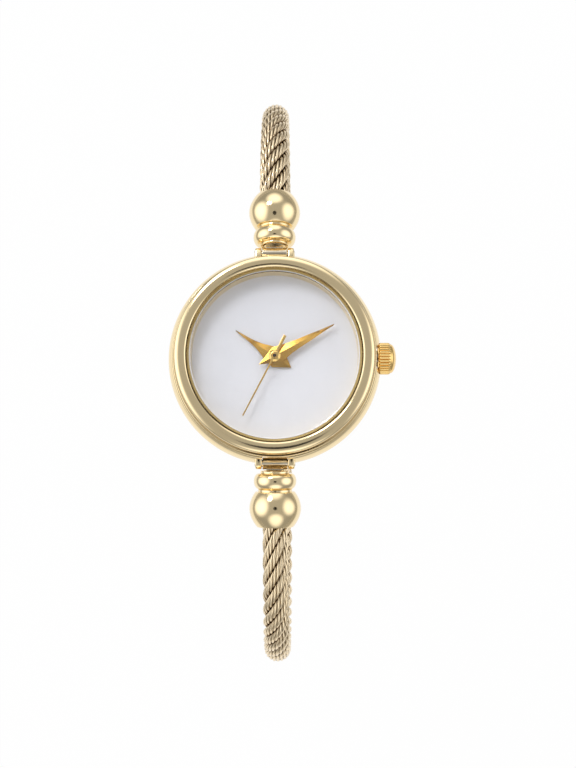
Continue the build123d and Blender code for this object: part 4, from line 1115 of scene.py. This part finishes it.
def rope_piece(name, material, **sizes):
    """Runs the rope's tree along the cable's line and keeps the result as a plain mesh."""
    curve = bpy.data.curves.new("cable_line", "CURVE")
    curve.dimensions = "3D"
    spline = curve.splines.new("POLY")
    spline.points.add(len(cable_line) - 1)
    for point, (y, z) in zip(spline.points, cable_line):
        point.co = (0, y * mm, z * mm, 1)
    path = added("cable_line", curve)
    modifier = path.modifiers.new("rope", "NODES")
    modifier.node_group = rope_group
    values = {
        "Start radius": cable_start_r * mm,
        "Middle radius": cable_middle_r * mm,
        "End radius": cable_end_r * mm,
        "Lay": lay * mm,
        "Step length": step_length * mm,
        "Finish": material,
    }
    values.update({key.replace("_", " "): value for key, value in sizes.items()})
    for item in rope_group.interface.items_tree:
        if item.in_out == "INPUT" and item.name in values:
            modifier[item.identifier] = values[item.name]
    depsgraph = bpy.context.evaluated_depsgraph_get()
    mesh = bpy.data.meshes.new_from_object(path.evaluated_get(depsgraph))
    bpy.data.objects.remove(path)
    mesh.name = name
    return added(name, mesh)


for strand in range(strands):
    strand_piece = rope_piece(
        f"cable_strand_{strand + 1}",
        wire_gold.material,
        Strand_turn=strand / strands,
        Strand_place=2 * strand_share,
        Wires=wires,
        Wire_place=strand_share - wire_share,
        Wire_size=mean_r * wire_share * mm,
        Wire_twist=wire_twist,
        Wire_sides=wire_sides,
    )
    strand_piece = smoothed(strand_piece, cable_crease)
    fitted(strand_piece, wire_gold.material, "bangle", "cable_gold", "bangle_cable")
core_pieces = []
for strand in range(strands + 1):
    in_strand = strand < strands
    core_pieces.append(
        rope_piece(
            f"cable_core_{strand}",
            core_painted_shade,
            Strand_turn=strand / strands,
            Strand_place=2 * strand_share if in_strand else 0.0,
            Wires=1,
            Wire_place=0.0,
            Wire_size=mean_r * (strand_core_share if in_strand else cable_core_share) * mm,
            Wire_twist=0.0,
            Wire_sides=core_sides,
        )
    )
cable_core = smoothed(merged("cable_core", core_pieces), cable_crease)
fitted(cable_core, core_painted_shade, "bangle", "cable_gold", "bangle_cable")

# Studio: a plain sheet, white round the watch, lies under the watch, clear of its open bangle. It glows
# white in a pool round the watch, where its paper is also painted pale, with painted grey beyond, and it
# can't be seen from behind. The room is soft and grey, with four glowing walls and one lamp at the upper
# left.
sheet_half = 0.25
sheet_gap = 0.013
pool_start = 0.08
pool_end = 0.14
pool_white = 0.97
paper_white = ((0.86, 0.86, 0.86), (0.88, 0.88, 0.88))
paper_painted_shade = (0.42, 0.41, 0.39)
room_front = (-0.6, 0.47)
room_back = (-0.05, 0.36)
wall_core = 2
walls = (
    ((-0.92, -0.38, 0.06), 46, 1.3),
    ((0.92, -0.38, 0.03), 40, 1.1),
    ((0.0, -0.45, 0.89), 36, 1.1),
    ((0.05, -0.45, -0.89), 36, 1.0),
)
lamp_spot = Vector((-0.3, -0.6, 0.48))
lamp_size = 0.26
lamp_power = 1.4

sheet_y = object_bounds()[1][1] + sheet_gap
sheet_corners = oblong(-sheet_half, sheet_half, -sheet_half, sheet_half)
sheet_form = bmesh.new()
sheet_form.faces.new([sheet_form.verts.new((x, sheet_y, z)) for x, z in sheet_corners])
sheet = piece_from(outward(sheet_form), "studio_sheet")
paper = Finish("studio_sheet")
# Beyond the pool the paper's colour is painted grey, and pale within it: a painted pool of light.
pool = paper.eased(paper.from_axis(), pool_start, pool_end, 1.0, 0.0)
paper_colour = paper.tint(pool, paper_painted_shade, paper.tint(paper.noise(40.0, 2.0), *paper_white))
paper.set(Base_Color=paper_colour, Roughness=0.9)
camera_ray = paper.node("ShaderNodeLightPath", {}, {}, "Is Camera Ray")
seen_rays = {0: camera_ray + camera_ray.other("Is Glossy Ray"), 1: camera_ray.other("Is Transmission Ray")}
seen = paper.node("ShaderNodeMath", {"operation": "ADD", "use_clamp": True}, seen_rays)
paper.overlaid(seen * pool * pool_white, paper.node("ShaderNodeEmission", {}, {}))
from_behind = paper.node("ShaderNodeNewGeometry", {}, {}, "Backfacing")
paper.overlaid(from_behind, paper.node("ShaderNodeBsdfTransparent", {}, {}))
sheet.data.materials.append(paper.material)

world = bpy.data.worlds.new("studio")
bpy.context.scene.world = world
world.use_nodes = True
room = Tree(world.node_tree)
direction = room.node("ShaderNodeTexCoord", {}, {}, "Generated")
depth = room.node("ShaderNodeSeparateXYZ", {}, {"Vector": direction}, "Y")
level = room.eased(depth, room_front[0], room_back[0], room_front[1], room_back[1])
for toward, reach, glow in walls:
    ways = {0: direction, 1: Vector(toward).normalized()}
    facing = room.node("ShaderNodeVectorMath", {"operation": "DOT_PRODUCT"}, ways, "Value")
    rim, core = math.cos(math.radians(reach)), math.cos(math.radians(wall_core))
    level = level + room.eased(facing, rim, core, 0.0, glow)
room.feed(room.nodes["Background"].inputs["Strength"], level)
room.feed(room.nodes["Background"].inputs["Color"], (1, 1, 1))

lamp = bpy.data.lights.new("key", "AREA")
lamp.shape = "ELLIPSE"
lamp.size = lamp_size
lamp.size_y = lamp_size
lamp.energy = lamp_power
lamp_holder = added("key", lamp)
lamp_holder.location = lamp_spot
lamp_holder.rotation_euler = (-lamp_spot).to_track_quat("-Z", "Y").to_euler()

# Camera: it stands straight before the dial and a little below it, as in the photograph. A black
# disc round the lens is its body, which the polished gold mirrors.
camera_rise = math.radians(-9.0)
camera_turn = math.radians(0.6)
camera_roll = math.radians(0.15)
camera_distance = 0.37
film_width = 36.0
photo_height = 768
picture_scale = 8.56
picture_offset = (13.6, -30.0)
pixel = mm / picture_scale
bezel_centre = Vector((0, -6.7, 0)) * mm
camera_body_r = 0.06
camera_body_gap = 0.03

lens = bpy.data.cameras.new("camera")
lens.sensor_width = film_width
lens.lens = camera_distance / pixel * film_width / photo_height
level_way = Vector((math.cos(camera_turn), math.sin(camera_turn), 0))
back_way = Vector((math.sin(camera_turn), -math.cos(camera_turn), 0)) * math.cos(camera_rise)
back_way.z = math.sin(camera_rise)
upright_way = back_way.cross(level_way)
right_way = level_way * math.cos(camera_roll) - upright_way * math.sin(camera_roll)
up_way = upright_way * math.cos(camera_roll) + level_way * math.sin(camera_roll)
right_shift, up_shift = (offset_pixels * pixel for offset_pixels in picture_offset)
camera_spot = bezel_centre + back_way * camera_distance + right_way * right_shift + up_way * up_shift
camera_turned = Matrix((right_way, up_way, back_way)).transposed().to_4x4()
camera = added("camera", lens)
camera.matrix_world = Matrix.Translation(camera_spot) @ camera_turned
bpy.context.scene.camera = camera
bpy.context.scene.view_settings.view_transform = "Standard"

body_form = bmesh.new()
bmesh.ops.create_circle(body_form, cap_ends=True, segments=48, radius=camera_body_r)
camera_body = piece_from(outward(body_form), "camera_body")
camera_body.data.transform(Matrix.Translation(camera_spot + back_way * camera_body_gap) @ camera_turned)
camera_body.data.materials.append(chip_black)
camera_body.visible_camera = False
